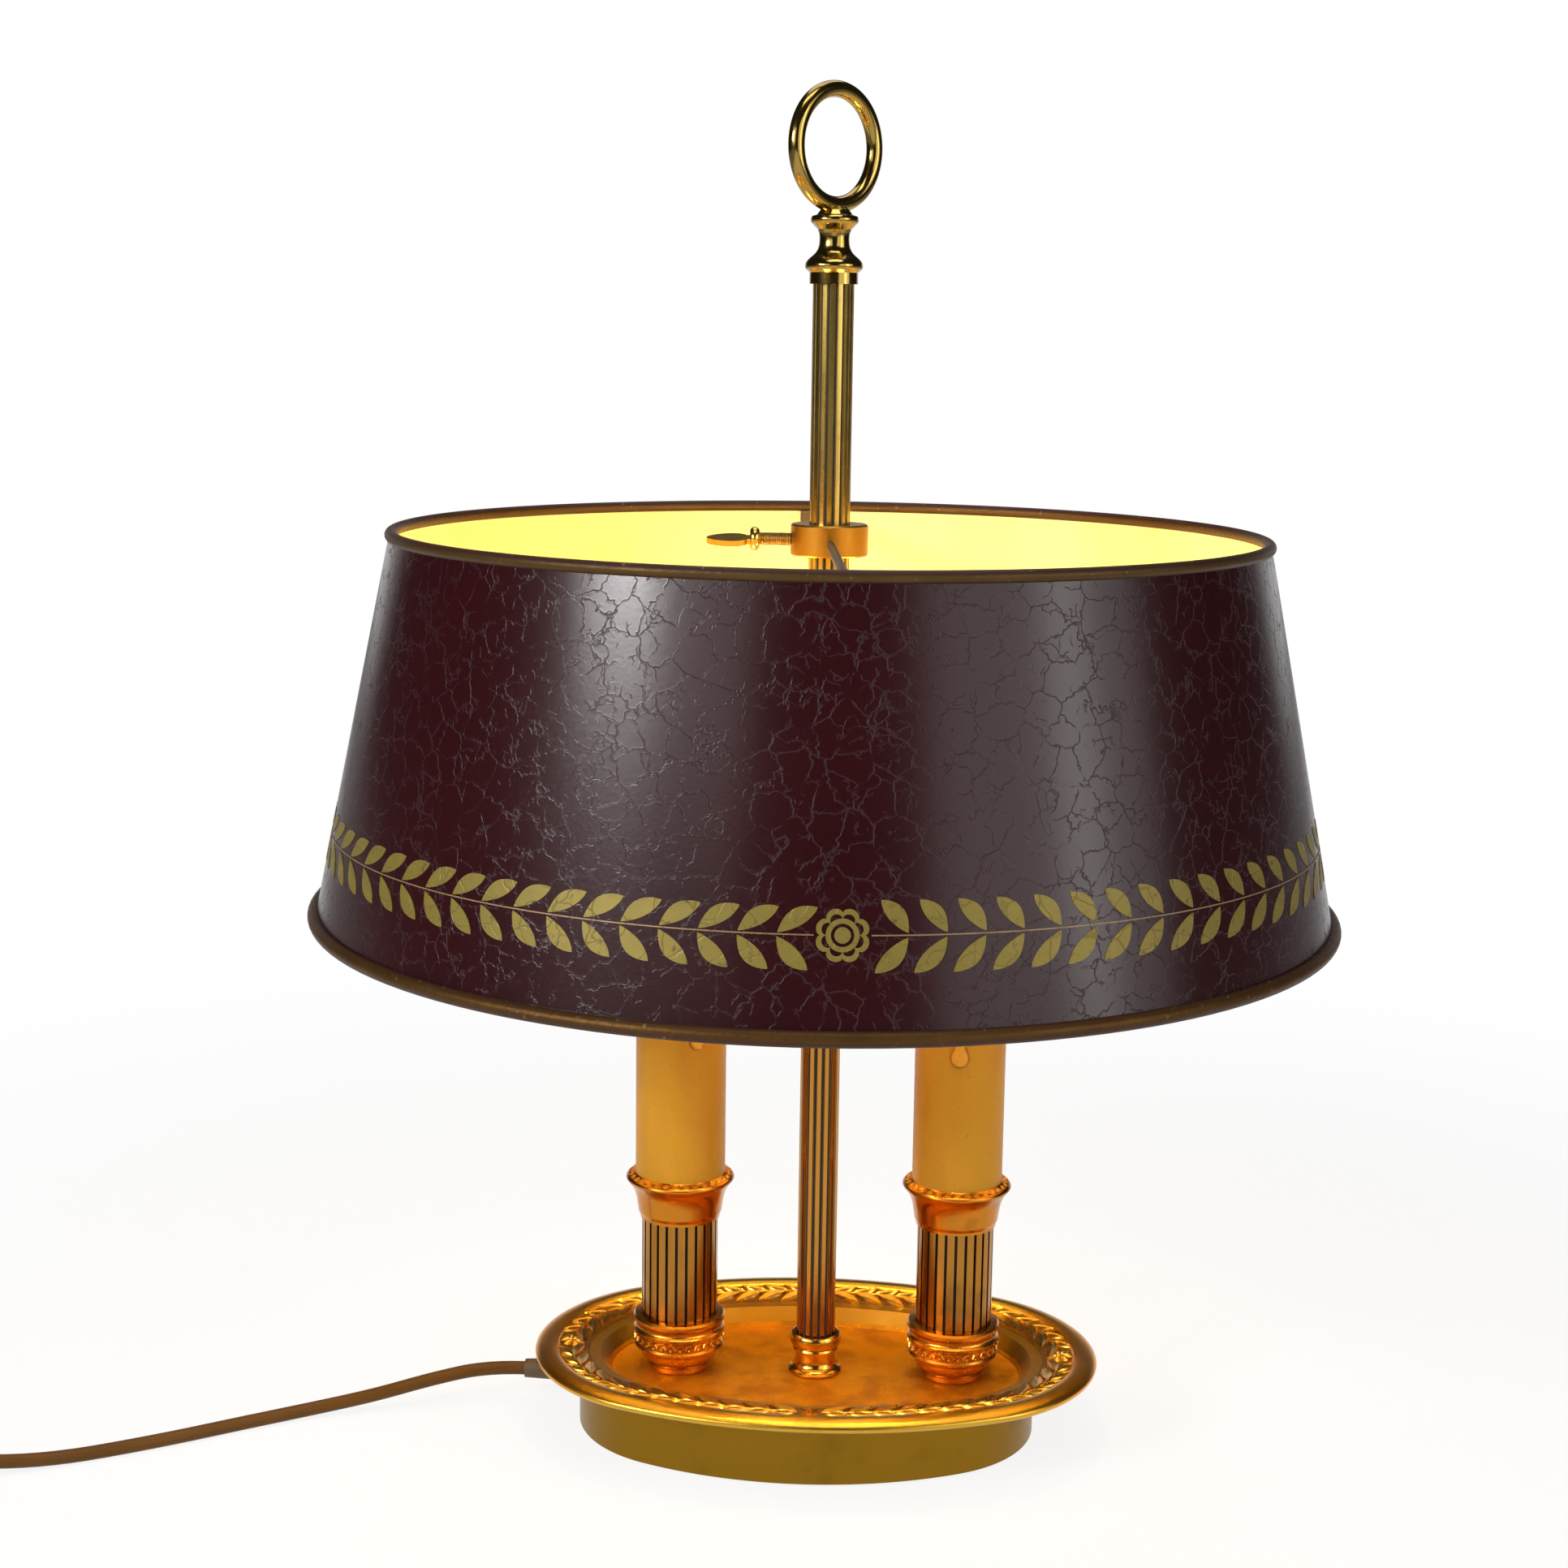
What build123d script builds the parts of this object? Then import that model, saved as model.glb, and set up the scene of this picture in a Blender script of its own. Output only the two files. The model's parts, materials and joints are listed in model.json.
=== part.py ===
from build123d import *
import os
from math import atan2, cos, degrees, hypot, pi, radians, sin, sqrt, tan

# Two-light bouillotte lamp. Millimetres, +Z up, origin on the table under the stem,
# +X along the tray towards the right candle, -Y towards the front.

os.makedirs("parts", exist_ok=True)

# ---------------------------------------------------------------- driving dimensions

# base
trayHalfLength = 95.0
trayHalfWidth = 64.0
trayEndRadius = 56.0
rimEdgeHeight = 25.2  # widest line of the tray's rim
rimCrestHeight = 27.2
wellInset = 22.0  # tray edge to the ledge's inner edge
wellSlope = 4.0  # plan width of the slope down to the sunk floor
ledgeWidth = 3.7
laurelBandWidth = 10.1
ledgeHeight = 23.8
floorTop = 18.2
floorThickness = 2.5
skirtHalfLength = 77.0
skirtHalfWidth = 51.5
skirtEndRadius = 44.0
skirtShift = -3.0  # the skirt sits a little towards the cord's end
skirtWall = 1.5
skirtBottom = 0.8
skirtTop = 20.3
skirtLip = 3.0
plateThickness = 1.5
feltThickness = 1.5
seatClearance = 0.5
ballastClearance = 1.5
plateScrewX = 24.0
plateScrewY = 30.0
plateScrewRadius = 2.0
plateScrewLength = 8.0

# stem
stemRadius = 6.5
stemBoreRadius = 4.2
stemTop = 380.3
stemFluteCount = 16
stemFluteRadius = 0.6
rodRadius = 3.0
rodHoleClearance = 0.3
nutFlats = 10.0
nutHeight = 5.0
washerThickness = 1.2
washerRadius = 6.0
rodEndCover = 1.0  # below the nut

# finial
finialCollarRadius = 7.7
finialFlareRadius = 9.2
finialNeckRadius = 4.8
finialDiscRadius = 7.6
finialCollarHeight = 3.5
saddleRadius = 5.6
saddleHeight = 2.8
finialHeight = 21.2  # stem top to the disc's top
ringOuterDiameter = 40.4
ringThickness = 5.2
ringTurn = 48.0  # degrees from the tray's long axis

# candle columns
candleOffset = 46.4
columnRadius = 12.75
columnFluteCount = 24
columnFluteWidth = 0.95
columnFluteDepth = 1.1
columnHeight = 37.1
columnSocket = 1.6  # column set into its foot
footHeight = 19.8
footBaseRadius = 10.3
footBowlRadius = 13.5
footRingRadius = 15.5
cupHeight = 12.1  # column's top to the flange's edge
cupCrown = 2.0  # flange's slope up to the candle
cupBrim = 3.15  # flange beyond the candle
cupRecess = 4.4
pipeRadius = 5.0
pipeBoreRadius = 3.5
pipeBottom = 10.8
pipeHoleClearance = 0.2
pipeNutFlats = 14.0
pipeNutHeight = 3.0
pipeWasherRadius = 8.0
pipeWasherThickness = 1.0
candleRadius = 15.0
candleWall = 1.3
candleLength = 104.8
candleFit = 0.1  # candle in the cup's recess
holderLength = 40.0
holderSink = 2.0  # below the candle's top
holderSeat = 4.0  # pipe in the holder
holderClearance = 0.2
capRadius = 6.9
capLength = 25.0
capStand = 1.0  # bulb's cap above its holder
capHoleClearance = 0.4
contactDepth = 3.0  # below the bulb's cap
contactRadius = 4.0
contactStrip = 1.0
contactTipRadius = 1.8
contactGap = 0.3  # tip to the bulb's cap
bulbRadius = 17.5
bulbLength = 75.0
bulbGlass = 0.8

# shade and its carrier
shadeTurn = 4.0  # degrees, the shade stands turned a little on the stem
shadeBottom = 181.0
shadeHeight = 120.3
shadeBottomRadius = 163.5
shadeTopRadius = 139.0
shadeSheet = 1.0
bottomWireRadius = 2.3
bottomWireOffset = 0.9  # wire's middle outside the sheet's
topWireRadius = 1.9
collarRadius = 12.4
collarHeight = 10.1
collarDrop = 1.3  # collar's middle below the shade's top
collarClearance = 0.1
armRadius = 1.5
armDrop = 1.0  # arms below the collar's middle
armDepth = 3.4  # arms in the collar
armFootHeight = 9.0
armFootGap = 0.3  # under the top wire
armFootWidth = 11.0
armFootThickness = 1.5
screwRadius = 2.0
screwClearance = 0.08
screwReach = 22.4
screwTipGap = 0.3  # to the stem
beadRadius = 3.8
beadWidth = 3.0
bladeLength = 14.0
bladeWidth = 9.0
bladeThickness = 1.8
bladeTilt = 12.0

# wiring in the base
leadRadius = 1.3
leadRise = 2.5  # above the pockets' floor
leadBend = 5.0
pocketRadius = 13.0
pocketFloor = 6.5
channelY = 16.0
channelWidth = 7.0
terminalLength = 11.0
terminalWidth = 24.0
terminalHeadroom = 0.8  # up to the tray's floor
terminalX = -66.8
terminalScrewRadius = 1.8
terminalScrewSpacing = 12.0
terminalScrewSink = 0.8

# cord
cordRadius = 2.3
cordExitY = 6.0
cordExitZ = 12.5
bushingLength = 20.0
bushingFlangeRadius = 5.5
bushingFlange = 2.0
bushingRadius = 4.0
cordBoreClearance = 0.05
switchLength = 58.0
switchWidth = 24.0
switchHeight = 14.0
switchSplit = 7.0
switchX = -309.5
switchY = -85.3
switchHeading = 204.0  # degrees, from the lamp towards the coil
switchCordHeight = 6.0
switchScrewRadius = 1.4
rockerRadius = 8.4
rockerWidth = 9.0
rockerRise = 1.6
rockerGap = 0.3
rockerTilt = 7.0  # degrees each way
rockerPinRadius = 1.2
rockerPinReach = 1.8  # beyond each side of the rocker
rockerPinClearance = 0.08
coilX = -402.0
coilY = -76.4
coilTurnRadius = 26.0  # middle of the turns
coilRows = 3
coilTurns = 8.25
cordEndLength = 28.0  # coil to plug
plugWidth = 35.3
plugThickness = 13.7
plugBackWidth = 16.0
plugBackThickness = 10.0
plugLength = 36.0
pinRadius = 2.0
pinLength = 19.0
pinSpacing = 18.6

# ---------------------------------------------------------------- shared shapes


def upright(angle, centre=(0, 0), height=0.0):
    """Vertical plane through a centre: its x runs outwards at the angle, its y is up."""
    across = (cos(radians(angle)), sin(radians(angle)), 0)
    return Plane(origin=(*centre, height), x_dir=across, z_dir=(across[1], -across[0], 0))


def facing(angle, distance, height):
    """Plane at a distance from the stem's axis, facing outwards at the angle."""
    outwards = (cos(radians(angle)), sin(radians(angle)), 0)
    origin = (distance * outwards[0], distance * outwards[1], height)
    return Plane(origin=origin, x_dir=(-outwards[1], outwards[0], 0), z_dir=outwards)


def ovalCentres(halfLength, halfWidth, endRadius):
    """An oval of four tangent arcs: centres of its end and side arcs, side radius, end half angle."""
    endCentre = halfLength - endRadius
    sideRadius = (endCentre**2 + halfWidth**2 - endRadius**2) / (2 * (halfWidth - endRadius))
    sideCentre = sideRadius - halfWidth
    return endCentre, sideCentre, sideRadius, degrees(atan2(sideCentre, endCentre))


def oval(halfLength, halfWidth, endRadius, inset=0.0, shift=0.0):
    """Flat oval, set in from its outline by the inset."""
    endCentre, sideCentre, sideRadius, half = ovalCentres(halfLength, halfWidth, endRadius)
    with BuildSketch() as outline:
        with BuildLine():
            for end in (0, 180):
                side = 1 if end == 0 else -1
                CenterArc((shift + side * endCentre, 0), endRadius - inset, end - half, 2 * half)
                CenterArc((shift, -side * sideCentre), sideRadius - inset, end + half, 180 - 2 * half)
        make_face()
    return outline.sketch


def trayOval(inset):
    return oval(trayHalfLength, trayHalfWidth, trayEndRadius, inset)


def skirtOval(inset):
    return oval(skirtHalfLength, skirtHalfWidth, skirtEndRadius, inset, skirtShift)


def flutedOutline(radius, bore, count, width, depth):
    """Round section with slots around it and a bore."""
    with BuildSketch() as outline:
        Circle(radius)
        with PolarLocations(radius, count):
            Rectangle(2 * depth, width, mode=Mode.SUBTRACT)
        Circle(bore, mode=Mode.SUBTRACT)
    return outline.sketch


def hexNut(flats, bore, height, bottom, centres):
    with BuildPart() as nut:
        for centre in centres:
            with BuildSketch(Plane.XY.offset(bottom)):
                with Locations(centre):
                    RegularPolygon(flats / 2, 6, major_radius=False)
                    Circle(bore, mode=Mode.SUBTRACT)
            extrude(amount=height)
    return nut.part


def washer(radius, bore, height, bottom, centres):
    with BuildPart() as ring:
        for centre in centres:
            with BuildSketch(Plane.XY.offset(bottom)):
                with Locations(centre):
                    Circle(radius)
                    Circle(bore, mode=Mode.SUBTRACT)
            extrude(amount=height)
    return ring.part


def countersunkScrew(centre, bottom, radius, length):
    """Screw driven upwards, its flat head flush with the given height."""
    head = 2 * radius
    with BuildPart() as screw:
        with BuildSketch(Plane.XZ.offset(-centre[1])):
            with BuildLine():
                x = centre[0]
                Polyline((x, bottom), (x + head, bottom), (x + radius, bottom + radius),
                         (x + radius, bottom + length), (x, bottom + length), close=True)
            make_face()
        revolve(axis=Axis((*centre, 0), (0, 0, 1)))
        with BuildSketch(Plane.XY.offset(bottom)):
            with Locations(centre):
                Rectangle(1.6 * head, 0.3 * radius)
        extrude(amount=0.4 * radius, mode=Mode.SUBTRACT)
    return screw.part


def save(part, name):
    part.label = name
    export_step(part, f"parts/{name}.step")


# ---------------------------------------------------------------- base

sides = (("left", -candleOffset), ("right", candleOffset))
pipeCentres = [(x, 0) for side, x in sides]
wellOuter = wellInset + 1.8  # outside of the well's wall
floorUnderside = floorTop - floorThickness
floorInset = wellInset + wellSlope
bandInner = wellInset - ledgeWidth
bandOuter = bandInner - laurelBandWidth
rimInner = bandOuter - 0.6


def traySection(outerRadius):
    """Section of the tray's border, from the sunk floor out to the rolled rim."""
    def at(inset, height):
        return (outerRadius - inset, height)

    Polyline(at(floorInset, floorUnderside), at(floorInset, floorTop),
             at(wellInset, ledgeHeight), at(bandInner, ledgeHeight + 0.3), at(bandInner, ledgeHeight + 0.7),
             at(bandOuter, rimCrestHeight - 1.1), at(rimInner, rimCrestHeight - 0.5))
    Spline(at(rimInner, rimCrestHeight - 0.5), at(0.47 * rimInner, rimCrestHeight), at(0, rimEdgeHeight),
           at(1.4, rimEdgeHeight - 1.7), tangents=((0.9, 0.42), (-1, -0.25)))
    Spline(at(1.4, rimEdgeHeight - 1.7), at(6.0, skirtTop + 1.6), at(10.5, skirtTop),
           tangents=((-1, -0.1), (-1, 0)))
    Polyline(at(10.5, skirtTop), at(wellOuter, skirtTop), at(wellOuter, floorUnderside),
             at(floorInset, floorUnderside))


with BuildPart() as base_tray:
    endCentre, sideCentre, sideRadius, half = ovalCentres(trayHalfLength, trayHalfWidth, trayEndRadius)
    for end in (0, 180):
        side = 1 if end == 0 else -1
        for centre, radius, start, turn in (
                ((side * endCentre, 0), trayEndRadius, end - half, 2 * half),
                ((0, -side * sideCentre), sideRadius, end + half, 180 - 2 * half)):
            with BuildSketch(upright(start, centre)):
                with BuildLine():
                    traySection(radius)
                make_face()
            revolve(axis=Axis((*centre, 0), (0, 0, 1)), revolution_arc=turn)
    with BuildSketch(Plane.XY.offset(floorUnderside)):
        add(trayOval(floorInset))
        Circle(rodRadius + rodHoleClearance, mode=Mode.SUBTRACT)
        with Locations(*pipeCentres):
            Circle(pipeRadius + pipeHoleClearance, mode=Mode.SUBTRACT)
    extrude(amount=floorThickness)
save(base_tray.part, "base_tray")

# the skirt's inner lip is clamped between the ballast and the closing plate
lipBottom = feltThickness + plateThickness
lipTop = lipBottom + skirtWall
skirtEnd = skirtShift - skirtHalfLength

with BuildPart() as base_skirt:
    with BuildSketch(Plane.XY.offset(skirtBottom)):
        add(skirtOval(0))
        add(skirtOval(skirtWall), mode=Mode.SUBTRACT)
    extrude(amount=skirtTop - skirtBottom)
    with BuildSketch(Plane.XY.offset(lipBottom)):
        add(skirtOval(skirtWall))
        add(skirtOval(skirtWall + skirtLip), mode=Mode.SUBTRACT)
    extrude(amount=lipTop - lipBottom)
    with BuildSketch(facing(180, -skirtEnd + bushingFlange, cordExitZ)):
        with Locations((-cordExitY, 0)):
            Circle(bushingRadius)
    extrude(amount=-3 * bushingFlange, mode=Mode.SUBTRACT)
save(base_skirt.part, "base_skirt")

counterboreTop = lipTop + rodEndCover + nutHeight + washerThickness + 1.0
plateScrews = [(x, y) for x in (-plateScrewX, plateScrewX) for y in (-plateScrewY, plateScrewY)]
terminalY = cordExitY
channelStart = terminalX
channelEnd = candleOffset + 2 * leadRadius

with BuildPart() as base_ballast:
    with BuildSketch(Plane.XY.offset(lipTop)):
        add(skirtOval(skirtWall + ballastClearance))
        Circle(rodRadius + rodHoleClearance, mode=Mode.SUBTRACT)
        with Locations(*plateScrews):
            Circle(plateScrewRadius, mode=Mode.SUBTRACT)
    extrude(amount=floorUnderside - lipTop)
    with BuildSketch(Plane.XY.offset(lipTop)):
        Circle(washerRadius + 1.0)
    extrude(amount=counterboreTop - lipTop, mode=Mode.SUBTRACT)
    with BuildSketch(Plane.XY.offset(pocketFloor)):
        with Locations(*pipeCentres):
            Circle(pocketRadius)
        with Locations(((channelStart + channelEnd) / 2, channelY)):
            Rectangle(channelEnd - channelStart, channelWidth)
        with Locations((terminalX - pocketRadius / 2, terminalY)):
            Rectangle(terminalLength + pocketRadius + 1.6, terminalWidth + 1.0)
        with Locations((-candleOffset - pocketRadius, terminalY)):
            Rectangle(pocketRadius, terminalWidth)
    extrude(amount=floorUnderside - pocketFloor, mode=Mode.SUBTRACT)
save(base_ballast.part, "base_ballast")

with BuildPart() as base_plate:
    with BuildSketch(Plane.XY.offset(feltThickness)):
        add(skirtOval(skirtWall + seatClearance))
    extrude(amount=plateThickness)
    for centre in plateScrews:
        with BuildSketch(Plane.XY.offset(feltThickness)):
            with Locations(centre):
                Circle(2 * plateScrewRadius)
        with BuildSketch(Plane.XY.offset(feltThickness + plateThickness)):
            with Locations(centre):
                Circle(2 * plateScrewRadius - plateThickness)
        loft(mode=Mode.SUBTRACT)
save(base_plate.part, "base_plate")

with BuildPart() as plate_screws:
    for centre in plateScrews:
        add(countersunkScrew(centre, feltThickness, plateScrewRadius, plateScrewLength))
save(plate_screws.part, "plate_screws")

with BuildPart() as felt_pad:
    with BuildSketch():
        add(skirtOval(skirtWall + 2 * seatClearance))
    extrude(amount=feltThickness)
save(felt_pad.part, "felt_pad")

# ---------------------------------------------------------------- stem

footBell = floorTop + 1.0
footSocket = floorTop + 9.3

with BuildPart() as stem_foot:
    with BuildSketch(Plane.XZ):
        with BuildLine():
            bore = rodRadius + rodHoleClearance
            Polyline((bore, floorTop), (8.7, floorTop), (9.2, floorTop + 0.6), (9.2, footBell),
                     (8.8, footBell + 0.5))
            Spline((8.8, footBell + 0.5), (7.2, footBell + 2.0), (6.6, footBell + 4.4), (6.9, footBell + 6.6))
            Polyline((6.9, footBell + 6.6), (7.6, footBell + 6.9), (7.8, footBell + 7.5),
                     (7.5, footBell + 8.1))
            Spline((7.5, footBell + 8.1), (8.4, footBell + 9.4), (8.65, footBell + 11.2),
                   (8.1, footBell + 12.7))
            Polyline((8.1, footBell + 12.7), (7.5, footBell + 12.9), (7.3, footBell + 10.5),
                     (stemRadius + 0.05, footBell + 10.2), (stemRadius + 0.05, footSocket),
                     (bore, footSocket), (bore, floorTop))
        make_face()
    revolve()
save(stem_foot.part, "stem_foot")

with BuildPart() as stem_tube:
    with BuildSketch(Plane.XY.offset(footSocket)):
        Circle(stemRadius)
        with PolarLocations(stemRadius, stemFluteCount, start_angle=360 / stemFluteCount / 2):
            Circle(stemFluteRadius, mode=Mode.SUBTRACT)
        Circle(stemBoreRadius, mode=Mode.SUBTRACT)
    extrude(amount=stemTop - footSocket)
save(stem_tube.part, "stem_tube")

nutBottom = lipTop + rodEndCover
rodBottom = nutBottom - 0.5
rodTop = stemTop + 0.75 * finialHeight

with BuildPart() as stem_rod:
    with BuildSketch(Plane.XY.offset(rodBottom)):
        Circle(rodRadius)
    extrude(amount=rodTop - rodBottom)
save(stem_rod.part, "stem_rod")

rodNutHeight = counterboreTop - washerThickness - nutBottom
save(hexNut(nutFlats, rodRadius, rodNutHeight, nutBottom, [(0, 0)]), "rod_nut")
save(washer(washerRadius, rodRadius + rodHoleClearance, washerThickness,
            counterboreTop - washerThickness, [(0, 0)]), "rod_washer")

# finial: a turned neck screwed on the rod, and the ring brazed into its saddle
discTop = stemTop + finialHeight
collarTop = stemTop + finialCollarHeight
ringPath = (ringOuterDiameter - ringThickness) / 2
ringCentre = discTop + 0.6 + ringOuterDiameter / 2
ringPlane = upright(ringTurn, height=ringCentre)

with BuildPart() as finial_ring:
    with BuildSketch(Plane(origin=ringPlane.origin, x_dir=ringPlane.x_dir, z_dir=(0, 0, 1))):
        with Locations((ringPath, 0)):
            Circle(ringThickness / 2)
    revolve(axis=Axis(ringPlane.origin, ringPlane.z_dir))
save(finial_ring.part, "finial_ring")

with BuildPart() as finial_neck:
    with BuildSketch(Plane.XZ):
        with BuildLine():
            bore = rodRadius + 0.05
            Polyline((0, rodTop + 0.5), (bore, rodTop + 0.5), (bore, stemTop), (finialCollarRadius, stemTop),
                     (finialCollarRadius, collarTop), (finialFlareRadius - 0.5, collarTop + 0.9))
            Spline((finialFlareRadius - 0.5, collarTop + 0.9), (finialFlareRadius, collarTop + 2.2),
                   (finialFlareRadius - 1.4, collarTop + 4.4), (finialNeckRadius + 0.9, collarTop + 6.4),
                   (finialNeckRadius, collarTop + 9.4), (finialNeckRadius + 0.1, collarTop + 12.2))
            Polyline((finialNeckRadius + 0.1, collarTop + 12.2), (finialNeckRadius + 0.5, collarTop + 13.3),
                     (finialDiscRadius - 0.5, discTop - 2.6))
            Spline((finialDiscRadius - 0.5, discTop - 2.6), (finialDiscRadius, discTop - 1.4),
                   (finialDiscRadius - 0.5, discTop - 0.3))
            Polyline((finialDiscRadius - 0.5, discTop - 0.3), (saddleRadius, discTop + 0.2),
                     (saddleRadius - 1.0, discTop + 1.6), (saddleRadius - 2.4, discTop + saddleHeight),
                     (0, discTop + saddleHeight), (0, rodTop + 0.5))
        make_face()
    revolve()
    add(finial_ring.part, mode=Mode.SUBTRACT)
save(finial_neck.part, "finial_neck")

# ---------------------------------------------------------------- candle columns

# heights of the stacked pieces, from the tray's floor up to the bulb
columnBottom = floorTop + footHeight - columnSocket
columnTop = columnBottom + columnHeight
cupFlangeHeight = columnTop + cupHeight
cupTop = cupFlangeHeight + cupCrown
cupFloor = cupTop - cupRecess
candleTop = cupFloor + candleLength
holderTop = candleTop - holderSink
holderBottom = holderTop - holderLength
pipeTop = holderBottom + holderSeat
capTop = holderTop + capStand
bulbTop = capTop + bulbLength
contactBottom = capTop - capLength - contactDepth

holderRadius = candleRadius - candleWall - holderClearance
pipeHole = pipeRadius + pipeHoleClearance
pipeNutTop = floorUnderside - pipeWasherThickness


def uprightOutline(x, points, curves):
    """Half section of a turned piece about the vertical line at x: straight steps and smooth curves."""
    with BuildSketch(Plane.XZ) as outline:
        with BuildLine():
            for chain in points:
                Polyline(*[(x + radius, height) for radius, height in chain])
            for chain in curves:
                Spline(*[(x + radius, height) for radius, height in chain])
        make_face()
    return outline.sketch


def footOutline(x):
    """Column foot: small base, bowl, ornament band between two lips, hollow, top roll, column socket."""
    base = footBaseRadius
    bowl = footBowlRadius
    ring = footRingRadius
    socket = columnRadius + 0.05

    def at(radius, share):
        """Point of the outline, its height a share of the foot's own."""
        return (radius, floorTop + share * footHeight)

    steps = (
        ((pipeHole, columnBottom), at(pipeHole, 0), at(base - 0.7, 0), at(base, 0.035), at(base, 0.106),
         at(base - 0.4, 0.126)),
        (at(bowl, 0.374), at(bowl + 0.9, 0.389), at(ring - 0.4, 0.424), at(ring - 0.1, 0.465),
         at(ring - 0.6, 0.5), at(ring - 0.6, 0.657), at(ring - 0.1, 0.682), at(ring - 0.1, 0.727)),
        (at(ring - 0.6, 0.859), at(ring, 0.899), at(ring, 0.949), at(ring - 0.6, 0.985), at(socket + 0.35, 1),
         at(socket, 0.99), (socket, columnBottom), (pipeHole, columnBottom)),
    )
    curves = (
        (at(base - 0.4, 0.126), at(bowl - 1.3, 0.217), at(bowl, 0.374)),
        (at(ring - 0.1, 0.727), at(ring - 1.1, 0.793), at(ring - 0.6, 0.859)),
    )
    return uprightOutline(x, steps, curves)


def cupOutline(x):
    """Candle cup: skirt over the column's top, flared body, rolled flange sloping up to the candle."""
    z = columnTop
    socket = columnRadius + 0.05
    recess = candleRadius + candleFit
    edge = candleRadius + cupBrim
    flange = cupFlangeHeight
    steps = (
        ((pipeHole, cupFloor), (pipeHole, z), (socket, z), (socket, z - 1.5), (socket + 0.55, z - 1.5),
         (socket + 0.65, z - 0.6), (socket + 1.2, z + 0.6)),
        ((recess, cupTop), (recess, cupFloor), (pipeHole, cupFloor)),
    )
    curves = (
        ((socket + 1.2, z + 0.6), (socket + 1.6, z + 0.29 * cupHeight), (socket + 2.3, z + 0.56 * cupHeight),
         (edge - 0.9, flange - 1.4), (edge, flange), (edge - 0.8, flange + 0.5 * cupCrown)),
        ((edge - 0.8, flange + 0.5 * cupCrown), (recess + 1.15, cupTop - 0.7), (recess, cupTop)),
    )
    return uprightOutline(x, steps, curves)


def glassOutline(x, wall):
    """Half section of the candle-shaped bulb, or of its hollow."""
    with BuildSketch(Plane.XZ) as outline:
        with BuildLine():
            tip = bulbTop - wall
            middle = capTop + 0.37 * (bulbTop - capTop)
            Spline((x + capRadius - 0.3 - wall, capTop), (x + bulbRadius - wall, middle),
                   (x + 0.62 * bulbRadius - wall, capTop + 0.72 * (bulbTop - capTop)), (x, tip),
                   tangents=((0.45, 1), (-1, 0.05)))
            Polyline((x, tip), (x, capTop), (x + capRadius - 0.3 - wall, capTop))
        make_face()
    return outline.sketch


# wax runs on each false candle: angle about it, distance down from its top, width
waxRuns = {"left": ((-65, 54.0, 3.6), (150, 40.0, 3.0), (-150, 30.0, 3.2)),
           "right": ((-92, 57.0, 3.8), (-40, 50.0, 3.4), (130, 36.0, 3.0))}

for side, x in sides:
    axis = Axis((x, 0, 0), (0, 0, 1))
    fluting = flutedOutline(columnRadius, pipeHole, columnFluteCount, columnFluteWidth, columnFluteDepth)

    with BuildPart() as column_foot:
        revolve(footOutline(x), axis=axis)
    save(column_foot.part, f"column_foot_{side}")

    with BuildPart() as fluted_column:
        with BuildSketch(Plane((x, 0, columnBottom))):
            add(fluting)
        extrude(amount=columnTop - columnBottom)
    save(fluted_column.part, f"fluted_column_{side}")

    with BuildPart() as candle_cup:
        revolve(cupOutline(x), axis=axis)
    save(candle_cup.part, f"candle_cup_{side}")

    with BuildPart() as lamp_pipe:
        with BuildSketch(Plane((x, 0, pipeBottom))):
            Circle(pipeRadius)
            Circle(pipeBoreRadius, mode=Mode.SUBTRACT)
        extrude(amount=pipeTop - pipeBottom)
    save(lamp_pipe.part, f"lamp_pipe_{side}")

    with BuildPart() as lampholder:
        with BuildSketch(Plane((x, 0, holderBottom))):
            Circle(holderRadius)
        extrude(amount=holderTop - holderBottom)
        with BuildSketch(Plane((x, 0, holderBottom))):
            Circle(pipeRadius)
        extrude(amount=pipeTop - holderBottom, mode=Mode.SUBTRACT)
        with BuildSketch(Plane((x, 0, holderTop))):
            Circle(capRadius + capHoleClearance)
        extrude(amount=contactBottom - holderTop, mode=Mode.SUBTRACT)
    save(lampholder.part, f"lampholder_{side}")

    with BuildPart() as candle_sleeve:
        with BuildSketch(Plane((x, 0, cupFloor))):
            Circle(candleRadius)
            Circle(candleRadius - candleWall, mode=Mode.SUBTRACT)
        extrude(amount=candleTop - cupFloor)
        for angle, reach, width in waxRuns[side]:
            runX = x + (candleRadius - 0.35) * cos(radians(angle))
            runY = (candleRadius - 0.35) * sin(radians(angle))
            with BuildSketch(Plane((runX, runY, candleTop - reach))):
                Circle(width / 2)
            extrude(amount=reach)
        with BuildSketch(Plane((x, 0, cupFloor))):
            Circle(candleRadius - candleWall)
        extrude(amount=candleTop - cupFloor, mode=Mode.SUBTRACT)
    save(candle_sleeve.part, f"candle_sleeve_{side}")

    with BuildPart() as bulb_cap:
        with BuildSketch(Plane((x, 0, capTop))):
            Circle(capRadius)
        extrude(amount=-capLength)
        chamfer(bulb_cap.edges().sort_by(Axis.Z)[0], 2.5)
    save(bulb_cap.part, f"bulb_cap_{side}")

    with BuildPart() as bulb_glass:
        revolve(glassOutline(x, 0), axis=axis)
        revolve(glassOutline(x, bulbGlass), axis=axis, mode=Mode.SUBTRACT)
    save(bulb_glass.part, f"bulb_glass_{side}")

save(hexNut(pipeNutFlats, pipeRadius, pipeNutHeight, pipeNutTop - pipeNutHeight, pipeCentres), "pipe_nuts")
save(washer(pipeWasherRadius, pipeHole, pipeWasherThickness, pipeNutTop, pipeCentres), "pipe_washers")
save(hexNut(pipeNutFlats, pipeRadius, pipeNutHeight, cupFloor, pipeCentres), "cup_locknuts")

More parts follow.
